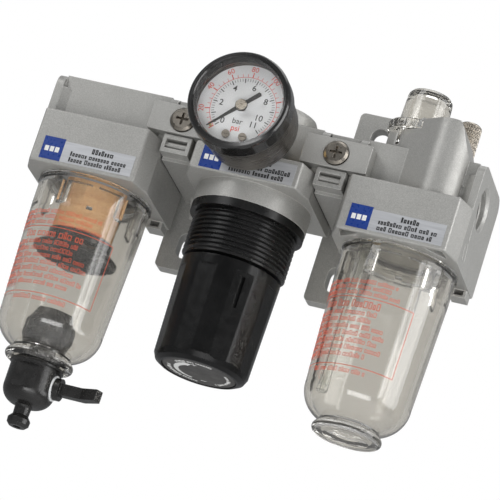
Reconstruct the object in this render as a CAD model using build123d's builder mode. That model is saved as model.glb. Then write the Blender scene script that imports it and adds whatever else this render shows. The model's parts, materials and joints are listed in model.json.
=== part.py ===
from build123d import *
import os
from math import cos, radians, sin

# Pneumatic filter, regulator and lubricator joined in a row by two spacer brackets.
# Millimetres, +Z up, +X from the inlet to the outlet, -Y towards the operator.
# The origin is on the wall plane, at the centre of the four bracket slots.

# ---- driving dimensions -------------------------------------------------------------------
PITCH = 50.0                 # between the vertical axes of neighbouring units
FILTER_X, REGULATOR_X, LUBRICATOR_X = -PITCH, 0.0, PITCH
AXIS_Y = -30.0               # units' axes in front of the wall plane

HEAD_HALF = 20.0             # half the width of a head along X
HEAD_TOP, HEAD_BOTTOM = 11.0, -22.0
HEAD_FRONT, HEAD_REAR = -20.0, 20.0      # measured from the units' axes, as are the next two
RECESS_FRONT = -10.0         # face above the label block
FLANGE_FRONT = -12.0
FLANGE_THICK = 2.4
SLOPE_WIDTH = 2.6            # of the wedge beside the rim at each port
LABEL_HALF = 17.2            # half the width of the label block's front face
LEDGE_Z = -4.2               # top of the label block

PORT_R, PORT_DEPTH, PORT_MOUTH_R = 6.2, 12.0, 7.1
PASSAGE_R = 4.5

GASKET = 0.4
BRACKET_HALF_WIDTH, BRACKET_HALF_HEIGHT, BRACKET_THICK = 8.0, 32.5, 5.0
SLOT_Z, SLOT_WIDTH, SLOT_LENGTH = 24.0, 5.5, 8.5

SOCKET_R, SOCKET_TOP = 17.1, -10.5
BOWL_NECK_R, BOWL_NECK_INNER_R = 16.6, 13.8
BOWL_TOP_R, BOWL_LOW_R, BOWL_WALL = 17.9, 16.5, 2.2
ORING_R = 16.05              # centre circle of the bowl O-ring

GAUGE_Z = 1.4
KEY_Z = -86.0                # height of the drain cock's cross plug
DOME_X = LUBRICATOR_X - 5.9
PLUG_X, PLUG_Y = LUBRICATOR_X + 6.9, AXIS_Y + 7.5
SIPHON_X, SIPHON_Y = LUBRICATOR_X - 9.7, AXIS_Y - 5.8     # clear of the air passage

PARTS = "parts"
os.makedirs(PARTS, exist_ok=True)


# ---- helpers ------------------------------------------------------------------------------
def save(piece, name):
    piece.part.label = name
    export_step(piece.part, f"{PARTS}/{name}.step")


def upright(x, y=AXIS_Y):
    """Vertical plane through a unit's axis: local X is +X, local Y is +Z."""
    return Plane(origin=(x, y, 0), x_dir=(1, 0, 0), z_dir=(0, -1, 0))


def spin(x, outline, y=AXIS_Y, mode=Mode.ADD):
    """Turn a closed outline of (radius, height) points about the vertical line at x, y."""
    with BuildSketch(upright(x, y)) as profile:
        with BuildLine():
            Polyline(*outline, close=True)
        make_face()
    revolve(profile.sketch, axis=Axis((x, y, 0), (0, 0, 1)), mode=mode)


def spin_gauge(outline):
    """Turn a closed outline of (radius, distance in front of the axes) about the gauge's axis."""
    plane = Plane(origin=(0, AXIS_Y, GAUGE_Z), x_dir=(1, 0, 0), z_dir=(0, 0, 1))
    with BuildSketch(plane) as profile:
        with BuildLine():
            Polyline(*[(radius, -front) for radius, front in outline], close=True)
        make_face()
    revolve(profile.sketch, axis=Axis((0, AXIS_Y, GAUGE_Z), (0, 1, 0)))


def rod(start, direction, radius, length, mode=Mode.ADD):
    """A round bar, or a bore when subtracted, from start along direction."""
    with BuildSketch(Plane(origin=start, z_dir=direction)) as end:
        Circle(radius)
    extrude(end.sketch, amount=length, mode=mode)


def block(low, high, mode=Mode.ADD):
    """A box between two opposite corners, with Y measured from the units' axes."""
    size = [b - a for a, b in zip(low, high)]
    middle = [(a + b) / 2 for a, b in zip(low, high)]
    with Locations((middle[0], middle[1] + AXIS_Y, middle[2])):
        Box(*size, mode=mode)


def prism(plane, outline, amount, mode=Mode.ADD):
    """Extrude a closed polygon from a plane."""
    with BuildSketch(plane) as face:
        with BuildLine():
            Polyline(*outline, close=True)
        make_face()
    extrude(face.sketch, amount=amount, mode=mode)


def ring(x, y, z, centre_r, wire_r):
    """An O-ring, with its centre circle about (x, y, z)."""
    with Locations((x, y, z)):
        Torus(centre_r, wire_r)


def coil(x, z_low, height, turns, mean_r, wire_r):
    """A compression spring's helix, standing on a unit's axis."""
    pitch = height / turns
    with BuildLine(Plane(origin=(x, AXIS_Y, z_low))) as path:
        Helix(pitch=pitch, height=height, radius=mean_r)
    with BuildSketch(Plane(origin=path.line @ 0, z_dir=path.line % 0)) as wire:
        Circle(wire_r)
    sweep(wire.sketch, path=path.line)


def at_angle(radius, degrees):
    return radius * cos(radians(degrees)), radius * sin(radians(degrees))


# ---- castings shared by the units ---------------------------------------------------------
def end_flanges(x, bottom):
    """The two rims that the clamps hook over, with rounded top and bottom corners."""
    for side in (-1, 1):
        inner = x + side * (HEAD_HALF - FLANGE_THICK)
        plane = Plane(origin=(inner, AXIS_Y, 0), x_dir=(0, 1, 0), z_dir=(1, 0, 0))
        with BuildSketch(plane) as rim:
            with BuildLine():
                Polyline((FLANGE_FRONT, bottom), (FLANGE_FRONT, HEAD_TOP), (HEAD_REAR, HEAD_TOP),
                         (HEAD_REAR, bottom), close=True)
            make_face()
            fillet(rim.vertices().sort_by(Axis.Y)[-2:].sort_by(Axis.X)[0], radius=4)
            fillet(rim.vertices().sort_by(Axis.X)[-2:].sort_by(Axis.Y)[-1], radius=5)
            fillet(rim.vertices().sort_by(Axis.Y)[:2], radius=1.2)
        extrude(rim.sketch, amount=side * FLANGE_THICK)


def rim_slope(x, side):
    """Wedge between the recessed face and the rim that carries the port."""
    inner = side * (HEAD_HALF - FLANGE_THICK)
    wedge = [(inner, FLANGE_FRONT + 0.3), (inner - side * SLOPE_WIDTH, RECESS_FRONT),
             (inner, RECESS_FRONT + 2), (inner + side * 1.0, RECESS_FRONT + 2),
             (inner + side * 1.0, FLANGE_FRONT + 0.3)]
    prism(Plane(origin=(x, AXIS_Y, LEDGE_Z - 1)), wedge, HEAD_TOP - LEDGE_Z - 3.2)


def label_block(x, z_low, z_high):
    """The front block that carries the label, with flanks that taper back to the rims."""
    plane = Plane(origin=(x, AXIS_Y, z_low))
    with BuildSketch(plane) as plan:
        with BuildLine():
            Polyline((-HEAD_HALF, FLANGE_FRONT), (-LABEL_HALF, HEAD_FRONT), (LABEL_HALF, HEAD_FRONT),
                     (HEAD_HALF, FLANGE_FRONT), (HEAD_HALF, 0), (-HEAD_HALF, 0), close=True)
        make_face()
        fillet(plan.vertices().group_by(Axis.Y)[0], radius=0.8)
    extrude(plan.sketch, amount=z_high - z_low)


def head_shell(x):
    """Outside of the filter's and the lubricator's head."""
    inner = HEAD_HALF - FLANGE_THICK
    label_block(x, HEAD_BOTTOM, LEDGE_Z)
    with BuildSketch(Plane(origin=(x, AXIS_Y, HEAD_BOTTOM))) as rear:
        with BuildLine():
            Polyline((-HEAD_HALF, -1), (HEAD_HALF, -1), (HEAD_HALF, HEAD_REAR), (-HEAD_HALF, HEAD_REAR),
                     close=True)
        make_face()
        fillet(rear.vertices().group_by(Axis.Y)[-1], radius=1.5)
    extrude(rear.sketch, amount=LEDGE_Z - HEAD_BOTTOM)
    block((x - inner, RECESS_FRONT, LEDGE_Z - 1), (x + inner, HEAD_REAR - 1, HEAD_TOP))
    end_flanges(x, HEAD_BOTTOM)


def bowl_socket(x):
    """The threaded socket that takes the bowl's neck from below."""
    spin(x, [(0, HEAD_BOTTOM - 4), (SOCKET_R + 0.5, HEAD_BOTTOM - 4), (SOCKET_R + 0.5, HEAD_BOTTOM + 0.5),
             (SOCKET_R, HEAD_BOTTOM + 1), (SOCKET_R, SOCKET_TOP), (0, SOCKET_TOP)], mode=Mode.SUBTRACT)


def guard_lug(x):
    """Small hollow lug under the rear right corner, for a bowl guard."""
    block((x + 14.5, 12.5, HEAD_BOTTOM - 2.6), (x + 19.6, 18.5, HEAD_BOTTOM + 1))
    block((x + 15.7, 11, HEAD_BOTTOM - 1.9), (x + 18.6, 16.5, HEAD_BOTTOM - 0.2), mode=Mode.SUBTRACT)


def port(x, side):
    """Threaded port in an end face, pointing along side."""
    rod((x, AXIS_Y, 0), (-side, 0, 0), PORT_R, PORT_DEPTH, mode=Mode.SUBTRACT)
    plane = upright(x)
    with BuildSketch(plane) as cone:
        with BuildLine():
            Polyline((side, 0), (side, PORT_MOUTH_R + 1), (-side * (PORT_MOUTH_R - PORT_R), PORT_R),
                     (-side * (PORT_MOUTH_R - PORT_R), 0), close=True)
        make_face()
    revolve(cone.sketch, axis=Axis((x, AXIS_Y, 0), (1, 0, 0)), mode=Mode.SUBTRACT)


# ---- filter head --------------------------------------------------------------------------
INLET_DROP_X = FILTER_X - 11.0
with BuildPart() as filter_head:
    head_shell(FILTER_X)
    rim_slope(FILTER_X, -1)
    guard_lug(FILTER_X)
    bowl_socket(FILTER_X)
    port(FILTER_X - HEAD_HALF, -1)
    # inlet passage, then down into the bowl outside the element
    rod((FILTER_X - 9, AXIS_Y, 0), (-1, 0, 0), PASSAGE_R, 8, mode=Mode.SUBTRACT)
    rod((INLET_DROP_X, AXIS_Y, 0), (0, 0, -1), 2.8, 12, mode=Mode.SUBTRACT)
    # clean air rises inside the element and leaves to the right
    rod((FILTER_X, AXIS_Y, 0), (1, 0, 0), PASSAGE_R, HEAD_HALF + 1, mode=Mode.SUBTRACT)
    rod((FILTER_X, AXIS_Y, 1), (0, 0, -1), 4.3, 13, mode=Mode.SUBTRACT)
    ledge_edge = filter_head.edges().filter_by(Axis.X).group_by(Axis.Y)[0]
    fillet(ledge_edge, radius=0.6)
save(filter_head, "filter_head")

# ---- filter cartridge ---------------------------------------------------------------------
DEFLECTOR_R, LOUVRES = 13.2, 12
ELEMENT_TOP, ELEMENT_BOTTOM, ELEMENT_R = -20.4, -37.4, 9.7
with BuildPart() as filter_deflector:
    spin(FILTER_X, [(4.4, SOCKET_TOP - 0.1), (8.0, SOCKET_TOP - 0.1), (8.0, -17.5), (DEFLECTOR_R, -17.5),
                    (DEFLECTOR_R, -19.0), (10.4, -20.3), (4.4, -20.3)])
    # slanted louvres that set the air spinning
    for index in range(LOUVRES):
        turn = 360 * index / LOUVRES
        louvre_x, louvre_y = at_angle(10.4, turn)
        plane = Plane(origin=(FILTER_X + louvre_x, AXIS_Y + louvre_y, -15.0),
                      x_dir=(cos(radians(turn)), sin(radians(turn)), 0), z_dir=(0, 0, 1))
        with Locations(plane * Location((0, 0, 0), (35, 0, 0))):
            Box(5.2, 0.9, 5.6)
    split(bisect_by=Plane(origin=(FILTER_X, AXIS_Y, SOCKET_TOP - 0.1)), keep=Keep.BOTTOM)
save(filter_deflector, "filter_deflector")

FACETS = 12
with BuildPart() as filter_element:
    spin(FILTER_X, [(6.2, ELEMENT_BOTTOM), (ELEMENT_R, ELEMENT_BOTTOM), (ELEMENT_R, ELEMENT_TOP),
                    (6.2, ELEMENT_TOP)])
    # the upper band is pressed into flat facets with raised seams between them
    for index in range(FACETS):
        turn = 360 * (index + 0.5) / FACETS
        facet_x, facet_y = at_angle(ELEMENT_R + 1.55, turn)
        plane = Plane(origin=(FILTER_X + facet_x, AXIS_Y + facet_y, -25.0),
                      x_dir=(cos(radians(turn)), sin(radians(turn)), 0), z_dir=(0, 0, 1))
        with Locations(plane):
            Box(4, 4.5, 9.4, mode=Mode.SUBTRACT)
save(filter_element, "filter_element")

UMBRELLA_R, LOBES = 13.4, 8
with BuildPart() as filter_baffle:
    spin(FILTER_X, [(3.1, -37.5), (10.2, -37.5), (10.2, -40.4), (9.0, -41.2), (11.8, -41.8),
                    (UMBRELLA_R, -43.2), (UMBRELLA_R, -44.2), (12.6, -44.2), (11.0, -43.1), (7.4, -42.7),
                    (6.2, -43.8), (6.2, -45.4), (3.1, -45.4)])
    for index in range(LOBES):
        notch_x, notch_y = at_angle(UMBRELLA_R + 1.6, 360 * index / LOBES)
        with Locations((FILTER_X + notch_x, AXIS_Y + notch_y, -43)):
            Cylinder(2.2, 6, mode=Mode.SUBTRACT)
save(filter_baffle, "filter_baffle")

with BuildPart() as filter_stud:
    spin(FILTER_X, [(0, -47.9), (2.0, -47.9), (3.0, -47.2), (3.0, -12.5), (2.4, -11.9), (0, -11.9)])
    # hexagon cap that holds the baffle up
    with BuildSketch(Plane(origin=(FILTER_X, AXIS_Y, -47.6))) as cap:
        RegularPolygon(4.9, 6)
    extrude(cap.sketch, amount=2.15)
    # three webs that locate the stud under the head
    for index in range(3):
        with Locations(Plane(origin=(FILTER_X, AXIS_Y, -14), x_dir=(*at_angle(1, 120 * index), 0),
                             z_dir=(0, 0, 1)) * Location((3.2, 0, 0))):
            Box(2.3, 1.0, 4)
save(filter_stud, "filter_stud")


# ---- bowls --------------------------------------------------------------------------------
BEAD_Z = HEAD_BOTTOM - 1.3
BOWL_SHOULDER_Z = -66.0
BOWL_CORNER = 10.0
FOOT_R, FOOT_NECK_R, FOOT_TOP, FOOT_BOTTOM = 10.8, 9.4, -76.6, -80.0
RIB_BAND_BOTTOM = -31.0
RIBS = 10


def bowl_shell(x, floor_z, bore_r):
    """Clear bowl: threaded neck with O-ring groove, bead, tapered wall, rounded shoulder and foot."""
    inner_top = BOWL_TOP_R - BOWL_WALL
    inner_low = BOWL_LOW_R - BOWL_WALL
    corner_inner = BOWL_CORNER - BOWL_WALL
    with BuildSketch(upright(x)) as wall:
        with BuildLine():
            outer_neck = Polyline((BOWL_NECK_INNER_R, SOCKET_TOP - 1.7), (BOWL_NECK_R - 0.6, SOCKET_TOP - 1.7),
                                  (BOWL_NECK_R, SOCKET_TOP - 2.3), (BOWL_NECK_R, -18.3), (15.0, -18.3),
                                  (15.0, -20.5), (BOWL_NECK_R, -20.5), (BOWL_NECK_R, HEAD_BOTTOM - 0.3),
                                  (18.4, HEAD_BOTTOM - 0.3), (18.4, BEAD_Z), (BOWL_TOP_R, BEAD_Z - 0.6),
                                  (BOWL_TOP_R, -31.0), (BOWL_LOW_R, BOWL_SHOULDER_Z))
            RadiusArc(outer_neck @ 1, (FOOT_NECK_R, FOOT_TOP + 0.6), BOWL_CORNER)
            Polyline((FOOT_NECK_R, FOOT_TOP + 0.6), (FOOT_NECK_R, FOOT_TOP), (FOOT_R - 0.9, FOOT_TOP - 0.5))
            RadiusArc((FOOT_R - 0.9, FOOT_TOP - 0.5), (FOOT_R - 0.9, FOOT_BOTTOM), 1.55)
            Polyline((FOOT_R - 0.9, FOOT_BOTTOM), (bore_r, FOOT_BOTTOM), (bore_r, floor_z),
                     (inner_low - corner_inner + 1.5, floor_z))
            RadiusArc((inner_low - corner_inner + 1.5, floor_z), (inner_low, BOWL_SHOULDER_Z),
                      -corner_inner - 0.6)
            Polyline((inner_low, BOWL_SHOULDER_Z), (inner_top, RIB_BAND_BOTTOM - 1.5),
                     (BOWL_NECK_INNER_R, RIB_BAND_BOTTOM), (BOWL_NECK_INNER_R, SOCKET_TOP - 1.7))
        make_face()
    revolve(wall.sketch, axis=Axis((x, AXIS_Y, 0), (0, 0, 1)))
    # pockets between the ribs inside the upper wall
    with BuildSketch(Plane(origin=(x, AXIS_Y, RIB_BAND_BOTTOM - 2))) as pockets:
        Circle(inner_top)
        Circle(BOWL_NECK_INNER_R - 1, mode=Mode.SUBTRACT)
        with PolarLocations((inner_top + BOWL_NECK_INNER_R) / 2, RIBS):
            Rectangle(6, 1.9, mode=Mode.SUBTRACT)
    extrude(pockets.sketch, amount=8.5, mode=Mode.SUBTRACT)


DRAIN_BORE_R = 4.3
BOWL_FLOOR = -74.6
with BuildPart() as filter_bowl:
    bowl_shell(FILTER_X, BOWL_FLOOR, DRAIN_BORE_R)
save(filter_bowl, "filter_bowl")

with BuildPart() as lubricator_bowl:
    bowl_shell(LUBRICATOR_X, BOWL_FLOOR, DRAIN_BORE_R)
    # the lubricator's foot is closed and dished underneath
    spin(LUBRICATOR_X, [(0, BOWL_FLOOR), (DRAIN_BORE_R + 0.5, BOWL_FLOOR), (DRAIN_BORE_R + 0.5, -78.2),
                        (0, -78.2)])
    spin(LUBRICATOR_X, [(0, FOOT_BOTTOM - 1), (7.2, FOOT_BOTTOM - 1), (7.2, FOOT_BOTTOM + 0.4),
                        (0, -78.2)], mode=Mode.SUBTRACT)
save(lubricator_bowl, "lubricator_bowl")

for name, x in (("filter_bowl_oring", FILTER_X), ("lubricator_bowl_oring", LUBRICATOR_X)):
    with BuildPart() as bowl_oring:
        ring(x, AXIS_Y, -19.4, ORING_R, 0.75)
    save(bowl_oring, name)

# ---- drain --------------------------------------------------------------------------------
DRAIN_R, DRAIN_CORNER = 8.1, 5.2
DRAIN_SHOULDER = -88.4       # where the body's round bottom begins
STEM_R = 4.2
KEY_STEM_R = 2.6
HUB_FACE = 7.4               # flat on the drain body that the key's washer sits on
with BuildPart() as drain_body:
    with BuildSketch(upright(FILTER_X)) as drain_wall:
        with BuildLine():
            Polyline((1.2, -66.5), (STEM_R - 0.4, -66.5), (STEM_R, -67), (STEM_R, -80.1), (8.6, -80.1),
                     (8.6, -80.9), (DRAIN_R, -81.3), (DRAIN_R, DRAIN_SHOULDER))
            RadiusArc((DRAIN_R, DRAIN_SHOULDER), (DRAIN_R - DRAIN_CORNER, DRAIN_SHOULDER - DRAIN_CORNER),
                      DRAIN_CORNER)
            Polyline((DRAIN_R - DRAIN_CORNER, DRAIN_SHOULDER - DRAIN_CORNER), (2.6, -94.2), (2.5, -96.6),
                     (3.6, -98.0), (3.5, -99.5), (2.6, -100.4), (1.2, -100.4), (1.2, -66.5))
        make_face()
    revolve(drain_wall.sketch, axis=Axis((FILTER_X, AXIS_Y, 0), (0, 0, 1)))
    # flat on the front with a rounded foot, flat on the key's side, and the cross bore of the cock
    with BuildSketch(Plane(origin=(FILTER_X, AXIS_Y - DRAIN_R - 1, -85.6), z_dir=(0, -1, 0))) as front_flat:
        RectangleRounded(7.6, 8.2, 1.6)
    extrude(front_flat.sketch, amount=-1.9, mode=Mode.SUBTRACT)
    block((FILTER_X + HUB_FACE, -9, -94), (FILTER_X + 9, 9, -81.4), mode=Mode.SUBTRACT)
    rod((FILTER_X - 5.5, AXIS_Y, KEY_Z), (1, 0, 0), KEY_STEM_R + 0.06, 14, mode=Mode.SUBTRACT)
save(drain_body, "drain_body")

NUT_LOBES, NUT_LOBE_R = 6, 2.9
with BuildPart() as drain_nut:
    # barrel-shaped nut with six round lobes and an open cup on top
    with BuildSketch(Plane(origin=(FILTER_X, AXIS_Y, -74.0))) as lobes:
        Circle(7.0)
        with PolarLocations(5.4, NUT_LOBES):
            Circle(NUT_LOBE_R)
    extrude(lobes.sketch, amount=11.0)
    spin(FILTER_X, [(0, -74.0), (6.7, -74.0), (7.2, -72.4), (8.2, -70.6), (8.4, -68.6), (7.9, -66.6),
                    (6.6, -64.8), (5.9, -63.0), (0, -63.0)], mode=Mode.INTERSECT)
    spin(FILTER_X, [(0, -75), (STEM_R + 0.02, -75), (STEM_R + 0.02, -65.6), (0, -65.6)],
         mode=Mode.SUBTRACT)
    spin(FILTER_X, [(0, -66), (4.6, -64.8), (5.4, -62), (0, -62)], mode=Mode.SUBTRACT)
save(drain_nut, "drain_nut")

with BuildPart() as drain_gasket:
    spin(FILTER_X, [(STEM_R + 0.02, BOWL_FLOOR), (6.6, BOWL_FLOOR), (6.6, -74.0), (STEM_R + 0.02, -74.0)])
save(drain_gasket, "drain_gasket")

with BuildPart() as drain_washer:
    rod((FILTER_X + HUB_FACE, AXIS_Y, KEY_Z), (1, 0, 0), 4.0, 0.5)
    rod((FILTER_X + HUB_FACE - 1, AXIS_Y, KEY_Z), (1, 0, 0), KEY_STEM_R + 0.06, 3, mode=Mode.SUBTRACT)
save(drain_washer, "drain_washer")

with BuildPart() as drain_key:
    hub_start = FILTER_X + HUB_FACE + 0.6
    rod((FILTER_X - 5.2, AXIS_Y, KEY_Z), (1, 0, 0), KEY_STEM_R, HUB_FACE + 6)
    rod((hub_start, AXIS_Y, KEY_Z), (1, 0, 0), 3.5, 1.9)
    # cross hole that lines up with the drain passage when the key is turned
    rod((FILTER_X, AXIS_Y - 4, KEY_Z), (0, 1, 0), 1.1, 8, mode=Mode.SUBTRACT)
    # grip: a flat bar that bends towards the front near its end
    grip = [(HUB_FACE + 1.5, 1.6), (HUB_FACE + 1.5, -1.8), (16.8, -1.8), (22.4, -4.6), (23.8, -2.2),
            (18.0, 1.6)]
    prism(Plane(origin=(FILTER_X, AXIS_Y, KEY_Z - 1.8)), grip, 3.6)
    fillet(drain_key.edges().filter_by(Axis.Z), radius=0.3)
save(drain_key, "drain_key")

# ---- regulator body -----------------------------------------------------------------------
BOSS_R, BOSS_BOTTOM, BOSS_TOP = 18.2, -19.3, -11.8
REG_BLOCK_BOTTOM = -13.0
CAP_R = 11.8
VALVE_CHAMBER_R = 6.4
CAP_SPIGOT_R = 8.0
with BuildPart() as regulator_body:
    inner = HEAD_HALF - FLANGE_THICK
    label_block(REGULATOR_X, REG_BLOCK_BOTTOM, LEDGE_Z)
    block((-inner, RECESS_FRONT, LEDGE_Z - 1), (inner, HEAD_REAR - 1, HEAD_TOP))
    block((-HEAD_HALF, -1, REG_BLOCK_BOTTOM), (HEAD_HALF, HEAD_REAR - 1, LEDGE_Z))
    end_flanges(REGULATOR_X, REG_BLOCK_BOTTOM)
    spin(REGULATOR_X, [(0, BOSS_BOTTOM), (BOSS_R, BOSS_BOTTOM), (BOSS_R, BOSS_TOP), (0, BOSS_TOP)])
    # gauge boss in front, plugged boss behind
    rod((0, AXIS_Y + RECESS_FRONT + 1, GAUGE_Z), (0, -1, 0), 7.6, 4.2)
    rod((0, AXIS_Y + HEAD_REAR - 2, GAUGE_Z), (0, 1, 0), 8.0, 2)
    # inlet passage, up and over into the valve chamber
    rod((-HEAD_HALF - 1, AXIS_Y, 0), (1, 0, 0), PASSAGE_R, 11, mode=Mode.SUBTRACT)
    rod((-10.5, AXIS_Y, -1), (0, 0, 1), 2.9, 9, mode=Mode.SUBTRACT)
    rod((-10.5, AXIS_Y, 5.9), (1, 0, 0), 2.0, 10.5, mode=Mode.SUBTRACT)
    spin(0, [(0, 3.4), (VALVE_CHAMBER_R, 3.4), (VALVE_CHAMBER_R, 8.2), (CAP_SPIGOT_R + 0.02, 8.2),
             (CAP_SPIGOT_R + 0.02, 12), (0, 12)], mode=Mode.SUBTRACT)
    # seat bore, chamber over the diaphragm and the way out
    rod((0, AXIS_Y, 4), (0, 0, -1), 2.7, 20, mode=Mode.SUBTRACT)
    spin(0, [(0, -20), (13.4, -20), (13.4, -13.4), (6, -11.6), (0, -11.6)], mode=Mode.SUBTRACT)
    rod((HEAD_HALF + 1, AXIS_Y, 0), (-1, 0, 0), PASSAGE_R, 13, mode=Mode.SUBTRACT)
    rod((10, AXIS_Y, 0), (0, 0, -1), 2.4, 14, mode=Mode.SUBTRACT)
    # gauge ports, fed from the outlet side of the seat
    for start, way in ((AXIS_Y - 14, 1), (AXIS_Y + HEAD_REAR, -1)):
        rod((0, start, GAUGE_Z), (0, way, 0), 4.5, 6.6, mode=Mode.SUBTRACT)
    rod((0, AXIS_Y - 14, -1.7), (0, 1, 0), 1.1, 14, mode=Mode.SUBTRACT)
    fillet(regulator_body.edges().filter_by(Axis.X).group_by(Axis.Y)[0], radius=0.6)
save(regulator_body, "regulator_body")

with BuildPart() as top_cap:
    spin(0, [(0, 16.8), (9.9, 16.8), (11.2, 16.3), (CAP_R, 15.2), (CAP_R, HEAD_TOP), (CAP_SPIGOT_R, HEAD_TOP),
             (CAP_SPIGOT_R, 10.9), (6.9, 10.9), (6.9, 9.3), (CAP_SPIGOT_R, 9.3), (CAP_SPIGOT_R, 8.3),
             (5.2, 8.3), (5.2, 13.2), (0, 13.2)])
    rod((0, AXIS_Y, 13.5), (0, 0, 1), 2.1, 2.0, mode=Mode.SUBTRACT)
    rod((0, AXIS_Y, 13.0), (0, 0, 1), 2.1, 1.0, mode=Mode.SUBTRACT)
save(top_cap, "top_cap")

with BuildPart() as top_cap_oring:
    ring(0, AXIS_Y, 10.1, 7.43, 0.5)
save(top_cap_oring, "top_cap_oring")

with BuildPart() as valve_poppet:
    spin(0, [(0, -20.1), (1.3, -20.1), (1.3, 3.2), (2.5, 3.3), (2.5, 3.45), (4.4, 3.45), (4.4, 6.0),
             (2.05, 6.0), (2.05, 6.4), (1.9, 6.6), (1.9, 13.6), (0, 13.6)])
save(valve_poppet, "valve_poppet")

with BuildPart() as valve_spring:
    coil(0, 6.55, 6.0, 4, 3.3, 0.4)
save(valve_spring, "valve_spring")

# ---- diaphragm, spring and spindle --------------------------------------------------------
DIAPHRAGM_R = 15.6
NUT_TOP = -44.0
SPINDLE_R = 3.0
with BuildPart() as diaphragm:
    spin(0, [(9.2, -20.2), (12.4, -20.2), (13.0, -20.6), (DIAPHRAGM_R, -20.6), (DIAPHRAGM_R, -19.32),
             (13.1, -19.32), (12.4, -19.7), (9.2, -19.7)])
save(diaphragm, "diaphragm")

with BuildPart() as diaphragm_plate:
    spin(0, [(0, -22.4), (9.1, -22.4), (9.1, -20.9), (9.1, -18.4), (7.2, -18.4), (7.2, -20.1), (0, -20.1)])
    spin(0, [(0, -24.6), (3.4, -24.6), (4.6, -23.6), (4.6, -22.4), (0, -22.4)])
save(diaphragm_plate, "diaphragm_plate")

with BuildPart() as regulating_spring:
    coil(0, NUT_TOP + 1.15, -22.4 - NUT_TOP - 2.3, 5, 6.6, 1.1)
save(regulating_spring, "regulating_spring")

with BuildPart() as spring_nut:
    with BuildSketch(Plane(origin=(0, AXIS_Y, NUT_TOP - 4.0))) as flats:
        RegularPolygon(9.2, 8, rotation=22.5)
    extrude(flats.sketch, amount=4.0)
    rod((0, AXIS_Y, NUT_TOP - 5), (0, 0, 1), SPINDLE_R + 0.06, 7, mode=Mode.SUBTRACT)
save(spring_nut, "spring_nut")

BONNET_END = -62.0
SQUARE = 4.4
with BuildPart() as spindle:
    spin(0, [(0, BONNET_END - 1.2), (2.9, BONNET_END - 1.2), (2.9, BONNET_END + 2.1), (5.4, BONNET_END + 2.1),
             (5.4, BONNET_END + 4.1), (SPINDLE_R, BONNET_END + 4.1), (SPINDLE_R, -33.0), (2.2, -32.2),
             (0, -32.2)])
    with BuildSketch(Plane(origin=(0, AXIS_Y, -67.2))) as drive:
        Rectangle(SQUARE, SQUARE)
    extrude(drive.sketch, amount=4.1)
save(spindle, "spindle")

# ---- bonnet with panel thread -------------------------------------------------------------
THREAD_R, THREAD_ROOT_R, THREAD_PITCH = 16.5, 15.7, 1.5
THREAD_TOP, THREAD_BOTTOM = -22.2, -36.2
BONNET_FLANGE_R, BONNET_FLANGE_BOTTOM = 18.1, -22.0
SLEEVE_R, SLEEVE_INNER_R = 12.2, 9.8
ridges = int((THREAD_TOP - THREAD_BOTTOM) / THREAD_PITCH)
with BuildPart() as bonnet:
    thread = [(THREAD_ROOT_R, THREAD_TOP)]
    for index in range(ridges):
        top = THREAD_TOP - 0.1 - index * THREAD_PITCH
        thread += [(THREAD_ROOT_R, top - 0.25), (THREAD_R, top - 0.6), (THREAD_R, top - 0.85),
                   (THREAD_ROOT_R, top - 1.2)]
    spin(0, [(BONNET_FLANGE_R, BOSS_BOTTOM - 0.02), (BONNET_FLANGE_R, BONNET_FLANGE_BOTTOM), *thread,
             (THREAD_ROOT_R, THREAD_BOTTOM), (SLEEVE_R, THREAD_BOTTOM), (SLEEVE_R, BONNET_END + 0.6),
             (SLEEVE_R - 0.6, BONNET_END), (SPINDLE_R, BONNET_END), (SPINDLE_R, BONNET_END + 2),
             (SLEEVE_INNER_R, BONNET_END + 2), (SLEEVE_INNER_R, -24.5), (13.4, -23.2), (13.4, -20.7),
             (DIAPHRAGM_R + 0.1, -20.7), (DIAPHRAGM_R + 0.1, BOSS_BOTTOM - 0.02)])
    # two ribs inside the sleeve stop the spring nut from turning
    for side in (-1, 1):
        block((side * 9.3 - 0.5, -1.4, BONNET_END + 2), (side * 9.3 + 0.5, 1.4, -30))
save(bonnet, "bonnet")

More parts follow.
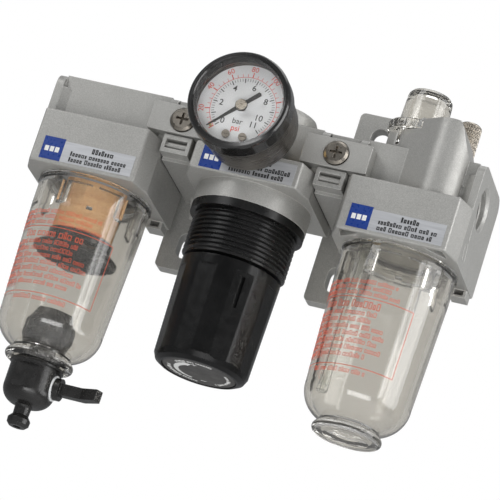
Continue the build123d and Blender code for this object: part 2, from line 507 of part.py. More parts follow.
# ---- knob ---------------------------------------------------------------------------------
KNOB_TOP, KNOB_BOTTOM = -36.9, -70.6
KNOB_TOP_R, KNOB_LOW_R = 15.7, 15.0
PANELS, PANEL_WIDTH, PANEL_FLAT = 8, 7.4, 15.0      # flat: distance from the axis
INDICATOR_TURN = 33.0        # the knob stands turned, degrees from the front towards +X
with BuildPart() as knob:
    spin(0, [(13.4, KNOB_TOP), (KNOB_TOP_R - 0.4, KNOB_TOP), (KNOB_TOP_R, KNOB_TOP - 0.4),
             (KNOB_LOW_R, KNOB_BOTTOM + 2.6), (KNOB_LOW_R - 0.8, KNOB_BOTTOM + 0.9),
             (KNOB_LOW_R - 2.4, KNOB_BOTTOM), (11.9, KNOB_BOTTOM), (11.9, KNOB_BOTTOM + 0.6),
             (3.4, KNOB_BOTTOM + 0.6), (3.4, -63.6), (5.4, -63.6), (5.4, -67.8), (12.9, -67.8)])
    # shallow flat panels round the grip, leaning in with its taper
    for index in range(PANELS):
        turn = INDICATOR_TURN - 90 + 360 * index / PANELS
        panel_x, panel_y = at_angle(PANEL_FLAT + 2, turn)
        plane = Plane(origin=(panel_x, AXIS_Y + panel_y, -54.6),
                      x_dir=(cos(radians(turn)), sin(radians(turn)), 0), z_dir=(0, 0, 1))
        with Locations(plane * Location((0, 0, 0), (0, 1.2, 0))):
            Box(4, PANEL_WIDTH, 28.6, mode=Mode.SUBTRACT)
    # indicator slot in one panel
    slot_x, slot_y = at_angle(PANEL_FLAT + 1, INDICATOR_TURN - 90)
    indicator = Plane(origin=(slot_x, AXIS_Y + slot_y, -46.6),
                      x_dir=(*at_angle(1, INDICATOR_TURN - 90), 0), z_dir=(0, 0, 1))
    with Locations(indicator):
        Box(4, 1.1, 10, mode=Mode.SUBTRACT)
    # the hub is closed round the spindle's square
    spin(0, [(0, KNOB_BOTTOM + 0.6), (3.5, KNOB_BOTTOM + 0.6), (3.5, -63.6), (0, -63.6)])
    with BuildSketch(Plane(origin=(0, AXIS_Y, -68.6))) as square_hole:
        Rectangle(SQUARE + 0.3, SQUARE + 0.3)
    extrude(square_hole.sketch, amount=6, mode=Mode.SUBTRACT)
save(knob, "knob")

with BuildPart() as knob_disc:
    spin(0, [(0, KNOB_BOTTOM + 0.1), (11.4, KNOB_BOTTOM + 0.1), (11.7, KNOB_BOTTOM + 0.3),
             (11.7, KNOB_BOTTOM + 0.58), (0, KNOB_BOTTOM + 0.58)])
save(knob_disc, "knob_disc")

# ---- gauge, distances measured forwards from the units' axes -------------------------------
CASE_FRONT, CASE_BACK = 43.1, 23.6
DIAL_FACE = 39.4
BEZEL_R, BEZEL_FRONT, BEZEL_BACK = 15.8, 47.3, 40.0
LENS_R, LENS_FRONT = 14.2, 44.35
DIAL_SCREW_X, DIAL_SCREW_Z = 2.65, GAUGE_Z - 9.05
NEEDLE_FACE = DIAL_FACE + 2.4
STOP_X, STOP_Z = -8.0, GAUGE_Z - 7.4     # pin below the zero mark
with BuildPart() as gauge_stem:
    spin_gauge([(1.0, 7.6), (4.4, 7.6), (4.4, 14.2), (5.2, 14.2), (5.2, CASE_BACK - 0.1),
                (3.2, CASE_BACK - 0.1), (3.2, 27.5), (1.0, 27.5)])
    # spanner square behind the case
    with BuildSketch(Plane(origin=(0, AXIS_Y - 16, GAUGE_Z), z_dir=(0, -1, 0))) as spanner:
        RectangleRounded(10.6, 10.6, 1)
        Circle(2, mode=Mode.SUBTRACT)
    extrude(spanner.sketch, amount=6.5)
save(gauge_stem, "gauge_stem")

with BuildPart() as gauge_case:
    spin_gauge([(3.25, CASE_BACK), (12.2, CASE_BACK), (13.6, CASE_BACK + 0.6), (14.3, CASE_BACK + 2.2),
                (15.1, BEZEL_BACK - 1.0), (15.1, CASE_FRONT), (LENS_R, CASE_FRONT),
                (LENS_R, BEZEL_BACK - 1.2), (13.4, CASE_BACK + 2.4), (12.0, CASE_BACK + 0.9),
                (3.25, CASE_BACK + 0.9)])
save(gauge_case, "gauge_case")

with BuildPart() as gauge_bezel:
    spin_gauge([(15.12, BEZEL_BACK), (15.5, BEZEL_BACK), (BEZEL_R, BEZEL_BACK + 0.4), (BEZEL_R, 45.6),
                (15.6, 46.3), (15.2, 46.9), (14.5, BEZEL_FRONT), (14.0, 47.2), (13.7, 46.8), (13.1, 44.6),
                (13.1, LENS_FRONT + 0.05), (14.3, LENS_FRONT + 0.05), (14.3, CASE_FRONT + 0.05),
                (15.12, CASE_FRONT + 0.05)])
save(gauge_bezel, "gauge_bezel")

with BuildPart() as gauge_lens:
    spin_gauge([(0, CASE_FRONT + 0.1), (LENS_R, CASE_FRONT + 0.1), (LENS_R, LENS_FRONT), (0, LENS_FRONT)])
save(gauge_lens, "gauge_lens")

with BuildPart() as gauge_dial:
    spin_gauge([(0.9, DIAL_FACE - 0.5), (14.1, DIAL_FACE - 0.5), (14.1, DIAL_FACE), (0.9, DIAL_FACE)])
    for side in (-1, 1):
        rod((side * DIAL_SCREW_X, AXIS_Y - DIAL_FACE + 1, DIAL_SCREW_Z), (0, -1, 0), 0.75, 2,
            mode=Mode.SUBTRACT)
    rod((STOP_X, AXIS_Y - DIAL_FACE + 1, STOP_Z), (0, -1, 0), 0.5, 2, mode=Mode.SUBTRACT)
save(gauge_dial, "gauge_dial")

with BuildPart() as gauge_stop_pin:
    rod((STOP_X, AXIS_Y - DIAL_FACE + 0.5, STOP_Z), (0, -1, 0), 0.45, 1.6)
save(gauge_stop_pin, "gauge_stop_pin")

with BuildPart() as gauge_dial_screws:
    for side in (-1, 1):
        screw_x, screw_z = side * DIAL_SCREW_X, DIAL_SCREW_Z
        rod((screw_x, AXIS_Y - DIAL_FACE - 0.02, screw_z), (0, -1, 0), 1.25, 0.6)
        rod((screw_x, AXIS_Y - DIAL_FACE + 3, screw_z), (0, -1, 0), 0.7, 3.2)
        block((screw_x - 1.4, -DIAL_FACE - 1, screw_z - 0.15),
              (screw_x + 1.4, -DIAL_FACE - 0.35, screw_z + 0.15), mode=Mode.SUBTRACT)
save(gauge_dial_screws, "gauge_dial_screws")

# the pointer rests on zero, low on the left
POINTER_REST = 225.0
with BuildPart() as gauge_pointer:
    needle = Plane(origin=(0, AXIS_Y - NEEDLE_FACE, GAUGE_Z), x_dir=(1, 0, 0), z_dir=(0, -1, 0))
    with BuildSketch(needle * Location((0, 0, 0), (0, 0, POINTER_REST))) as blade:
        with BuildLine():
            Polyline((-6.6, -0.66), (-6.9, 0), (-6.6, 0.66), (-1.4, 0.62), (0, 0.72), (12.0, 0.16),
                     (12.0, -0.16), (0, -0.72), (-1.4, -0.62), close=True)
        make_face()
        Circle(1.9)
        Circle(0.42, mode=Mode.SUBTRACT)
    extrude(blade.sketch, amount=0.25)
save(gauge_pointer, "gauge_pointer")

with BuildPart() as gauge_hub:
    spin_gauge([(0, 29.4), (0.42, 29.4), (0.42, NEEDLE_FACE - 0.7), (0.9, NEEDLE_FACE - 0.7),
                (0.9, NEEDLE_FACE - 0.01), (0.42, NEEDLE_FACE - 0.01), (0.42, NEEDLE_FACE + 0.26),
                (1.75, NEEDLE_FACE + 0.26), (1.75, NEEDLE_FACE + 0.8), (1.5, NEEDLE_FACE + 1.0),
                (0, NEEDLE_FACE + 1.0)])
save(gauge_hub, "gauge_hub")

TUBE_R = 9.6
with BuildPart() as bourdon_tube:
    # flattened tube bent through most of a turn behind the dial
    with BuildLine(Plane(origin=(0, AXIS_Y - 29.5, GAUGE_Z), x_dir=(1, 0, 0), z_dir=(0, -1, 0))) as bend:
        CenterArc((0, 0), TUBE_R, -70, 250)
    with BuildSketch(Plane(origin=bend.line @ 0, x_dir=(0, 1, 0), z_dir=bend.line % 0)) as flat_tube:
        Ellipse(2.4, 1.0)
        Ellipse(1.9, 0.6, mode=Mode.SUBTRACT)
    sweep(flat_tube.sketch, path=bend.line)
save(bourdon_tube, "bourdon_tube")

with BuildPart() as gauge_movement:
    # two plates on pillars that carry the pointer's arbor
    for front in (29.8, 36.0):
        block((-5.2, -front - 0.9, GAUGE_Z - 6), (5.2, -front, GAUGE_Z + 4))
    for pillar_x in (-4, 4):
        rod((pillar_x, AXIS_Y - 29.8, GAUGE_Z - 4.8), (0, -1, 0), 0.8, 6.6)
    block((-3.0, -30.6, GAUGE_Z - 8.0), (3.0, -27.6, GAUGE_Z - 6))
    rod((0, AXIS_Y - 29, GAUGE_Z), (0, -1, 0), 0.48, 9, mode=Mode.SUBTRACT)
save(gauge_movement, "gauge_movement")

with BuildPart() as gauge_port_plug:
    rod((0, AXIS_Y + HEAD_REAR + 0.02, GAUGE_Z), (0, -1, 0), 4.4, 6.5)
    rod((0, AXIS_Y + HEAD_REAR + 0.02, GAUGE_Z), (0, 1, 0), 6.4, 2.0)
    with BuildSketch(Plane(origin=(0, AXIS_Y + HEAD_REAR + 3, GAUGE_Z), z_dir=(0, -1, 0))) as key_hole:
        RegularPolygon(2.9, 6)
    extrude(key_hole.sketch, amount=4, mode=Mode.SUBTRACT)
save(gauge_port_plug, "gauge_port_plug")

# ---- spacer brackets, clamps and gaskets --------------------------------------------------
SPACER_HALF = PITCH / 2 - HEAD_HALF - GASKET
SPACER_BOTTOM, SPACER_TOP = -9.6, 10.4
CLAMP_Z = 2.4
CLAMP_HALF_X, CLAMP_HALF_Z = 10.65, 4.7
CLAMP_FRONT = -16.0
HINGE_Z = -5.6


def spacer_bracket(x):
    """Spacer with the air passage, hinge block in front and slotted wall plate behind."""
    block((x - SPACER_HALF, RECESS_FRONT, SPACER_BOTTOM), (x + SPACER_HALF, 26, SPACER_TOP))
    block((x - SPACER_HALF, -15.0, HINGE_Z - 2.9), (x + SPACER_HALF, RECESS_FRONT + 1, HINGE_Z + 2.9))
    with BuildSketch(upright(x, 0)) as plate:
        RectangleRounded(2 * BRACKET_HALF_WIDTH, 2 * BRACKET_HALF_HEIGHT, 1.6)
    extrude(plate.sketch, amount=BRACKET_THICK)
    # gussets between spacer and plate
    for side in (-1, 1):
        gusset = [(-BRACKET_THICK, side * 15.0), (-BRACKET_THICK - 6, side * 9.0),
                  (-BRACKET_THICK, side * 9.0)]
        prism(Plane(origin=(x - 1.6, 0, 0), x_dir=(0, 1, 0), z_dir=(1, 0, 0)), gusset, 3.2)
    # wall slots
    with BuildSketch(upright(x, 1)) as slots:
        with Locations((0, SLOT_Z), (0, -SLOT_Z)):
            SlotOverall(SLOT_LENGTH, SLOT_WIDTH, rotation=90)
    extrude(slots.sketch, amount=BRACKET_THICK + 2, mode=Mode.SUBTRACT)
    # air passage, clamp screw's thread and the hinge pin's window
    rod((x - 6, AXIS_Y, 0), (1, 0, 0), PASSAGE_R, 12, mode=Mode.SUBTRACT)
    rod((x, AXIS_Y - 16, CLAMP_Z), (0, 1, 0), 2.05, 10.5, mode=Mode.SUBTRACT)
    block((x - 3.4, -16, HINGE_Z - 1.5), (x + 3.4, -12.0, HINGE_Z + 1.5), mode=Mode.SUBTRACT)
    rod((x - 4.3, AXIS_Y - 13.2, HINGE_Z), (1, 0, 0), 1.02, 8.6, mode=Mode.SUBTRACT)


with BuildPart() as left_spacer_bracket:
    spacer_bracket(-PITCH / 2)
save(left_spacer_bracket, "left_spacer_bracket")

with BuildPart() as right_spacer_bracket:
    spacer_bracket(PITCH / 2)
save(right_spacer_bracket, "right_spacer_bracket")


def clamp(x):
    """Bar across the joint whose end hooks pull the two heads' rims together."""
    face = Plane(origin=(x, AXIS_Y + FLANGE_FRONT - 0.1, CLAMP_Z), x_dir=(1, 0, 0), z_dir=(0, -1, 0))
    with BuildSketch(face) as bar:
        RectangleRounded(2 * CLAMP_HALF_X, 2 * CLAMP_HALF_Z, 0.5)
    extrude(bar.sketch, amount=FLANGE_FRONT - 0.1 - CLAMP_FRONT)
    for side in (-1, 1):
        outer, hook = side * CLAMP_HALF_X, side * (PITCH / 2 - HEAD_HALF + FLANGE_THICK + 0.15)
        block((x + min(outer, hook), FLANGE_FRONT - 0.2, CLAMP_Z - CLAMP_HALF_Z),
              (x + max(outer, hook), RECESS_FRONT - 0.1, CLAMP_Z + CLAMP_HALF_Z))
    rod((x, AXIS_Y + CLAMP_FRONT - 1, CLAMP_Z), (0, 1, 0), 4.1, 1.7, mode=Mode.SUBTRACT)
    rod((x, AXIS_Y + CLAMP_FRONT - 1, CLAMP_Z), (0, 1, 0), 2.2, 8, mode=Mode.SUBTRACT)


for name, x in (("left_clamp", -PITCH / 2), ("right_clamp", PITCH / 2)):
    with BuildPart() as clamp_bar:
        clamp(x)
    save(clamp_bar, name)

SCREW_SEAT = CLAMP_FRONT + 0.7
with BuildPart() as clamp_screws:
    # cross-recessed pan heads on M4 shanks
    for x in (-PITCH / 2, PITCH / 2):
        rod((x, AXIS_Y + SCREW_SEAT, CLAMP_Z), (0, 1, 0), 2.0, 9.6)
        with BuildSketch(Plane(origin=(x, AXIS_Y + SCREW_SEAT, CLAMP_Z), z_dir=(0, -1, 0))) as head:
            Circle(3.85)
        extrude(head.sketch, amount=1.1)
        with BuildSketch(Plane(origin=(x, AXIS_Y + SCREW_SEAT - 1.1, CLAMP_Z), z_dir=(0, -1, 0))) as crown:
            Circle(3.85)
        extrude(crown.sketch, amount=0.7, taper=50)
        for wide, tall in ((4.0, 0.8), (0.8, 4.0)):
            block((x - wide / 2, SCREW_SEAT - 3, CLAMP_Z - tall / 2), (x + wide / 2, SCREW_SEAT - 0.4,
                  CLAMP_Z + tall / 2), mode=Mode.SUBTRACT)
save(clamp_screws, "clamp_screws")

with BuildPart() as clamp_hinge_pins:
    for x in (-PITCH / 2, PITCH / 2):
        rod((x - 4.2, AXIS_Y - 13.2, HINGE_Z), (1, 0, 0), 1.0, 8.4)
save(clamp_hinge_pins, "clamp_hinge_pins")

with BuildPart() as spacer_gaskets:
    for joint in (-PITCH / 2, PITCH / 2):
        for side in (-1, 1):
            start = joint + side * (PITCH / 2 - HEAD_HALF)
            middle_z = (SPACER_TOP + SPACER_BOTTOM) / 2
            plane = Plane(origin=(start, AXIS_Y + 4.5, middle_z), x_dir=(0, 1, 0), z_dir=(1, 0, 0))
            with BuildSketch(plane) as sheet:
                RectangleRounded(28.6, SPACER_TOP - SPACER_BOTTOM - 0.4, 1)
                with Locations((-4.5, -middle_z)):
                    Circle(PASSAGE_R, mode=Mode.SUBTRACT)
            extrude(sheet.sketch, amount=-side * GASKET)
save(spacer_gaskets, "spacer_gaskets")

# ---- lubricator head ----------------------------------------------------------------------
TOWER_TOP, TOWER_SEAT = 20.8, 17.8       # of the tower's nose and of the flat under the dome's rim
TOWER_LEFT, TOWER_RIGHT, NOSE_R = LUBRICATOR_X - 14.6, LUBRICATOR_X + 14.0, 7.0
DOME_SKIRT_R, DOME_SEAT, DOME_RIM_R = 7.4, 13.0, 10.3
PLUG_HEAD_R, PLUG_SEAT, PLUG_STEM_R = 3.7, 13.0, 2.7
with BuildPart() as lubricator_head:
    head_shell(LUBRICATOR_X)
    rim_slope(LUBRICATOR_X, 1)
    guard_lug(LUBRICATOR_X)
    # tower under the sight dome: a slanted flat on the left, a round nose in front
    with BuildSketch(Plane(origin=(0, AXIS_Y, LEDGE_Z - 1))) as tower:
        with BuildLine():
            Polyline((TOWER_LEFT, 10), (TOWER_LEFT, -3.2), (TOWER_RIGHT, -24.2), (TOWER_RIGHT, 3.0),
                     (LUBRICATOR_X + 1.6, 3.0), (LUBRICATOR_X + 1.6, 10), close=True)
        make_face()
        fillet(tower.vertices().sort_by(Axis.Y)[0], radius=NOSE_R)
    extrude(tower.sketch, amount=TOWER_TOP - LEDGE_Z + 1)
    # its right side leans in, and its top is cut down round the dome
    lean = [(TOWER_RIGHT + 3, TOWER_TOP + 3), (TOWER_RIGHT - 4.2, TOWER_TOP + 3),
            (TOWER_RIGHT - 4.2, TOWER_TOP - 0.4), (TOWER_RIGHT - 3.2, TOWER_TOP - 1.6),
            (TOWER_RIGHT, HEAD_TOP + 0.5), (TOWER_RIGHT + 3, HEAD_TOP + 0.5)]
    prism(upright(0, AXIS_Y + 20), lean, 44, mode=Mode.SUBTRACT)
    spin(DOME_X, [(0, TOWER_SEAT), (DOME_RIM_R + 1.8, TOWER_SEAT), (DOME_RIM_R + 1.8, TOWER_TOP + 1),
                  (0, TOWER_TOP + 1)], mode=Mode.SUBTRACT)
    spin(PLUG_X, [(0, HEAD_TOP - 1), (5.2, HEAD_TOP - 1), (5.2, PLUG_SEAT), (0, PLUG_SEAT)], y=PLUG_Y)
    spin(PLUG_X, [(0, PLUG_SEAT), (4.3, PLUG_SEAT), (4.3, TOWER_TOP + 3), (0, TOWER_TOP + 3)], y=PLUG_Y,
         mode=Mode.SUBTRACT)
    bowl_socket(LUBRICATOR_X)
    port(LUBRICATOR_X + HEAD_HALF, 1)
    rod((LUBRICATOR_X - HEAD_HALF - 1, AXIS_Y, 0), (1, 0, 0), PASSAGE_R, 35, mode=Mode.SUBTRACT)
    # dome socket with the drip hole beneath, siphon riser and filling hole
    spin(DOME_X, [(0, DOME_SEAT), (DOME_SKIRT_R + 0.35, DOME_SEAT), (DOME_SKIRT_R + 0.35, TOWER_SEAT + 1),
                  (0, TOWER_SEAT + 1)], mode=Mode.SUBTRACT)
    rod((DOME_X, AXIS_Y, DOME_SEAT + 1), (0, 0, -1), 1.2, 12, mode=Mode.SUBTRACT)
    rod((SIPHON_X, SIPHON_Y, 8), (0, 0, -1), 1.0, 20, mode=Mode.SUBTRACT)
    rod((SIPHON_X, SIPHON_Y, 7.5), (2.6, 3.4, 6.0), 0.9, 7.6, mode=Mode.SUBTRACT)
    rod((PLUG_X, PLUG_Y, PLUG_SEAT + 1), (0, 0, -1), PLUG_STEM_R + 0.08, 9, mode=Mode.SUBTRACT)
    rod((PLUG_X, PLUG_Y, 6), (0, 0, -1), 1.6, 18, mode=Mode.SUBTRACT)
    # core pockets under the label block's front corners and score lines on the end face
    for side in (-1, 1):
        corner = [(side * 16.3, -18.9), (side * 10.0, -18.9), (side * 16.9, -12.6)]
        prism(Plane(origin=(LUBRICATOR_X, AXIS_Y, HEAD_BOTTOM - 1)), corner, 4.0, mode=Mode.SUBTRACT)
    for score_y, score_z, length in ((-5.5, -12.5, 13.0), (-8.0, -17.0, 5.0)):
        centre = (LUBRICATOR_X + HEAD_HALF + 1, AXIS_Y + score_y, score_z)
        with BuildSketch(Plane(origin=centre, x_dir=(0, 1, 0), z_dir=(1, 0, 0))) as score:
            Rectangle(0.7, length, rotation=12)
        extrude(score.sketch, amount=-1.5, mode=Mode.SUBTRACT)
    rod((LUBRICATOR_X + 14.3, AXIS_Y + RECESS_FRONT - 1, 2.5), (0, 1, 0), 0.5, 1.5, mode=Mode.SUBTRACT)
    fillet(lubricator_head.edges().filter_by(Axis.X).group_by(Axis.Y)[0], radius=0.6)
save(lubricator_head, "lubricator_head")

# ---- lubricator internals -----------------------------------------------------------------
with BuildPart() as venturi_insert:
    with BuildSketch(Plane(origin=(LUBRICATOR_X - 4, AXIS_Y, 0), x_dir=(1, 0, 0), z_dir=(0, -1, 0))) as throat:
        with BuildLine():
            Polyline((-5, 4.4), (5, 4.4), (5, 4.0), (1, 2.4), (-1, 2.4), (-5, 4.0), close=True)
        make_face()
    revolve(throat.sketch, axis=Axis((0, AXIS_Y, 0), (1, 0, 0)))
    rod((DOME_X, AXIS_Y, 5), (0, 0, -1), 1.2, 4, mode=Mode.SUBTRACT)
save(venturi_insert, "venturi_insert")

TUBE_TOP, TUBE_BOTTOM, TUBE_OUTER, TUBE_INNER = -16.4, -66.5, 1.6, 1.0
with BuildPart() as check_valve_body:
    spin(SIPHON_X, [(0.6, -19.5), (TUBE_INNER - 0.02, -19.5), (TUBE_INNER - 0.02, TUBE_TOP + 0.1),
                    (2.1, TUBE_TOP + 0.1), (2.1, SOCKET_TOP - 0.05), (1.25, SOCKET_TOP - 0.05), (1.25, -14.6),
                    (0.6, -15.4)], y=SIPHON_Y)
save(check_valve_body, "check_valve_body")

with BuildPart() as check_ball:
    with Locations((SIPHON_X, SIPHON_Y, -14.5)):
        Sphere(1.0)
save(check_ball, "check_ball")

with BuildPart() as siphon_tube:
    spin(SIPHON_X, [(TUBE_INNER, TUBE_BOTTOM), (TUBE_OUTER, TUBE_BOTTOM), (TUBE_OUTER, TUBE_TOP),
                    (TUBE_INNER, TUBE_TOP)], y=SIPHON_Y)
save(siphon_tube, "siphon_tube")

with BuildPart() as siphon_filter:
    spin(SIPHON_X, [(0, -68.7), (1.3, -68.7), (TUBE_OUTER + 0.1, -68.3),
                    (TUBE_OUTER + 0.1, TUBE_BOTTOM - 0.05), (TUBE_INNER - 0.02, TUBE_BOTTOM - 0.05),
                    (TUBE_INNER - 0.02, -64.5), (0.5, -64.5), (0.5, -68), (0, -68)], y=SIPHON_Y)
save(siphon_filter, "siphon_filter")

# ---- sight dome and fill plug -------------------------------------------------------------
DOME_R, DOME_TOP_R, DOME_TOP = 7.5, 6.9, 33.2
RIM_UNDER, RIM_TOP = TOWER_SEAT + 0.3, 21.2
GRIPS = 24
with BuildPart() as sight_dome:
    spin(DOME_X, [(5.4, 14.6), (DOME_SKIRT_R, 14.6), (DOME_SKIRT_R, RIM_UNDER), (DOME_RIM_R - 0.3, RIM_UNDER),
                  (DOME_RIM_R, RIM_UNDER + 0.3), (DOME_RIM_R, RIM_TOP - 0.5), (DOME_RIM_R - 0.5, RIM_TOP),
                  (DOME_R + 0.6, RIM_TOP), (DOME_R, RIM_TOP + 0.6), (DOME_TOP_R + 0.2, 31.0),
                  (DOME_TOP_R, 31.9), (DOME_TOP_R - 0.7, 32.8), (DOME_TOP_R - 1.8, DOME_TOP), (0, DOME_TOP),
                  (0, 31.2), (4.4, 31.0), (5.2, 30.2), (5.4, 29.0)])
    # grip grooves round the rim
    with Locations((DOME_X, AXIS_Y, (RIM_UNDER + RIM_TOP) / 2)):
        with PolarLocations(DOME_RIM_R + 0.4, GRIPS):
            Cylinder(0.65, 4.0, mode=Mode.SUBTRACT)
save(sight_dome, "sight_dome")

with BuildPart() as sight_dome_oring:
    ring(DOME_X, AXIS_Y, 13.75, 6.4, 0.7)
save(sight_dome_oring, "sight_dome_oring")

with BuildPart() as drip_nozzle:
    spin(DOME_X, [(0.6, 13.05), (4.6, 13.05), (4.6, 15.0), (2.2, 16.2), (1.6, 24.0), (0.6, 25.0)])
save(drip_nozzle, "drip_nozzle")

PLUG_TOP = 29.2
with BuildPart() as fill_plug:
    spin(PLUG_X, [(0, 6.4), (PLUG_STEM_R - 0.4, 6.4), (PLUG_STEM_R, 6.8), (PLUG_STEM_R, PLUG_SEAT + 1.15),
                  (PLUG_HEAD_R - 0.4, PLUG_SEAT + 1.15), (PLUG_HEAD_R, PLUG_SEAT + 1.6),
                  (PLUG_HEAD_R, PLUG_TOP - 0.7), (PLUG_HEAD_R - 0.6, PLUG_TOP), (0, PLUG_TOP)], y=PLUG_Y)
save(fill_plug, "fill_plug")

with BuildPart() as fill_plug_oring:
    ring(PLUG_X, PLUG_Y, PLUG_SEAT + 0.56, 3.4, 0.5)
save(fill_plug_oring, "fill_plug_oring")

# ---- labels -------------------------------------------------------------------------------
LABEL_THICK = 0.15
SQUARE_LEFT, SQUARE_SIZE, LABEL_RIGHT = -14.4, 6.9, 15.8
label_rows = ((FILTER_X, HEAD_BOTTOM + 1.2), (REGULATOR_X, REG_BLOCK_BOTTOM + 0.6),
              (LUBRICATOR_X, HEAD_BOTTOM + 1.2))


def sticker(x, left, right, low, high):
    """A thin label on the label block's front face."""
    block((x + left, HEAD_FRONT - LABEL_THICK, low), (x + right, HEAD_FRONT, high))


with BuildPart() as silver_labels:
    for x, low in label_rows:
        sticker(x, SQUARE_LEFT + SQUARE_SIZE, LABEL_RIGHT, low, low + 6.8)
save(silver_labels, "silver_labels")

with BuildPart() as blue_label_squares:
    for x, low in label_rows:
        sticker(x, SQUARE_LEFT, SQUARE_LEFT + SQUARE_SIZE, low, low + 7.4)
save(blue_label_squares, "blue_label_squares")
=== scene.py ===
"""Looks of the filter, regulator and lubricator row: materials, prints, gauge dial and studio."""
import json
import math
import random

import bmesh
import bpy
from mathutils import Matrix, Vector


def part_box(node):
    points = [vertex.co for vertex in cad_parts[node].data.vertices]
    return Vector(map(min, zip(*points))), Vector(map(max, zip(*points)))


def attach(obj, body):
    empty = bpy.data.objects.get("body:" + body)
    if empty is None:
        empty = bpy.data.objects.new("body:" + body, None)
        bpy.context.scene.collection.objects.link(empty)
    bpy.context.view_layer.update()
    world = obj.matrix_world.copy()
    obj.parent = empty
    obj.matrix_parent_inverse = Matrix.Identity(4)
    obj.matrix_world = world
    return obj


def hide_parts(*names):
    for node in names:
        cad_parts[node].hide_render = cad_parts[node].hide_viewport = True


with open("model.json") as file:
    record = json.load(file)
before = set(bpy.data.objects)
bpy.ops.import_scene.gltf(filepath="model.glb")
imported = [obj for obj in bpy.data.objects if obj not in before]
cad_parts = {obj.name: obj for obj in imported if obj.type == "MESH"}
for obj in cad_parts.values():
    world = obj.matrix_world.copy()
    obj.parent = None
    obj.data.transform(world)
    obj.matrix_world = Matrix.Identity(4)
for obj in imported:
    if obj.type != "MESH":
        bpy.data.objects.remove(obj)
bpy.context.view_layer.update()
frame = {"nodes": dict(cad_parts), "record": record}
NODES = frame["nodes"]
SLOT_OF = {part["node"]: part["material_slot"] for part in frame["record"]["subparts"]}


# ---- shader helpers -----------------------------------------------------------------------
class Shader:
    """A material with one Principled shader, and short names for the nodes that detail it."""

    def __init__(self, name, **sockets):
        self.material = bpy.data.materials.new(name)
        self.material.use_nodes = True
        self.tree = self.material.node_tree
        self.surface = self.tree.nodes["Principled BSDF"]
        self.place = self.node("TexCoord").outputs["Object"]
        for socket, value in sockets.items():
            self.set(socket.replace("_", " "), value)

    def node(self, kind):
        return self.tree.nodes.new("ShaderNode" + kind)

    def link(self, output, target):
        self.tree.links.new(output, target)

    def set(self, socket, value):
        if hasattr(value, "__len__"):
            value = (*value, 1.0) if len(value) == 3 else value
        self.surface.inputs[socket].default_value = value

    def noise(self, size, detail=2.0, stretch=(1, 1, 1), distortion=0.0):
        """Noise whose features measure about size, in metres."""
        mapping = self.node("Mapping")
        mapping.inputs["Scale"].default_value = stretch
        self.link(self.place, mapping.inputs["Vector"])
        noise = self.node("TexNoise")
        noise.inputs["Scale"].default_value = 1 / size
        noise.inputs["Detail"].default_value = detail
        noise.inputs["Distortion"].default_value = distortion
        self.link(mapping.outputs["Vector"], noise.inputs["Vector"])
        return noise.outputs["Fac"]

    def ramp(self, factor, *stops):
        ramp = self.node("ValToRGB")
        elements = ramp.color_ramp.elements
        while len(elements) < len(stops):
            elements.new(0.5)
        for element, (position, colour) in zip(elements, stops):
            element.position = position
            element.color = (*colour, 1.0)
        self.link(factor, ramp.inputs["Fac"])
        return ramp.outputs["Color"]

    def remap(self, factor, low, high, start=0.3, end=0.7):
        remap = self.node("MapRange")
        for name, value in (("From Min", start), ("From Max", end), ("To Min", low), ("To Max", high)):
            remap.inputs[name].default_value = value
        self.link(factor, remap.inputs["Value"])
        return remap.outputs["Result"]

    def mix(self, factor, first, second):
        mix = self.node("Mix")
        mix.data_type = "RGBA"
        for value, index in ((factor, 0), (first, 6), (second, 7)):
            if hasattr(value, "node"):
                self.link(value, mix.inputs[index])
            else:
                mix.inputs[index].default_value = value if index == 0 else (*value, 1.0)
        return mix.outputs[2]

    def paint(self, colour):
        self.link(colour, self.surface.inputs["Base Color"])

    def rough(self, value):
        self.link(value, self.surface.inputs["Roughness"])

    def relief(self, height, depth, strength=1.0, edge=0.0):
        """Bump of the given depth in metres, over edges softened to the radius edge."""
        bump = self.node("Bump")
        bump.inputs["Strength"].default_value = strength
        bump.inputs["Distance"].default_value = depth
        self.link(height, bump.inputs["Height"])
        if edge:
            bevel = self.node("Bevel")
            bevel.samples = 4
            bevel.inputs["Radius"].default_value = edge
            self.link(bevel.outputs["Normal"], bump.inputs["Normal"])
        self.link(bump.outputs["Normal"], self.surface.inputs["Normal"])

    def worn_edges(self, radius):
        """1 along the sharp edges, 0 on the faces: the mask of a painted highlight along the edges."""
        bevel = self.node("Bevel")
        bevel.samples = 4
        bevel.inputs["Radius"].default_value = radius
        dot = self.node("VectorMath")
        dot.operation = "DOT_PRODUCT"
        self.link(bevel.outputs["Normal"], dot.inputs[0])
        self.link(self.node("NewGeometry").outputs["Normal"], dot.inputs[1])
        return self.remap(dot.outputs["Value"], 1.0, 0.0, start=0.8, end=0.99)

    def pass_lamp_light(self, tint):
        """Let light from lamps reach what is behind a clear wall."""
        clear = self.node("BsdfTransparent")
        clear.inputs["Color"].default_value = (*tint, 1.0)
        mix = self.node("MixShader")
        self.link(self.node("LightPath").outputs["Is Shadow Ray"], mix.inputs["Fac"])
        self.link(self.surface.outputs["BSDF"], mix.inputs[1])
        self.link(clear.outputs["BSDF"], mix.inputs[2])
        self.link(mix.outputs["Shader"], self.tree.nodes["Material Output"].inputs["Surface"])


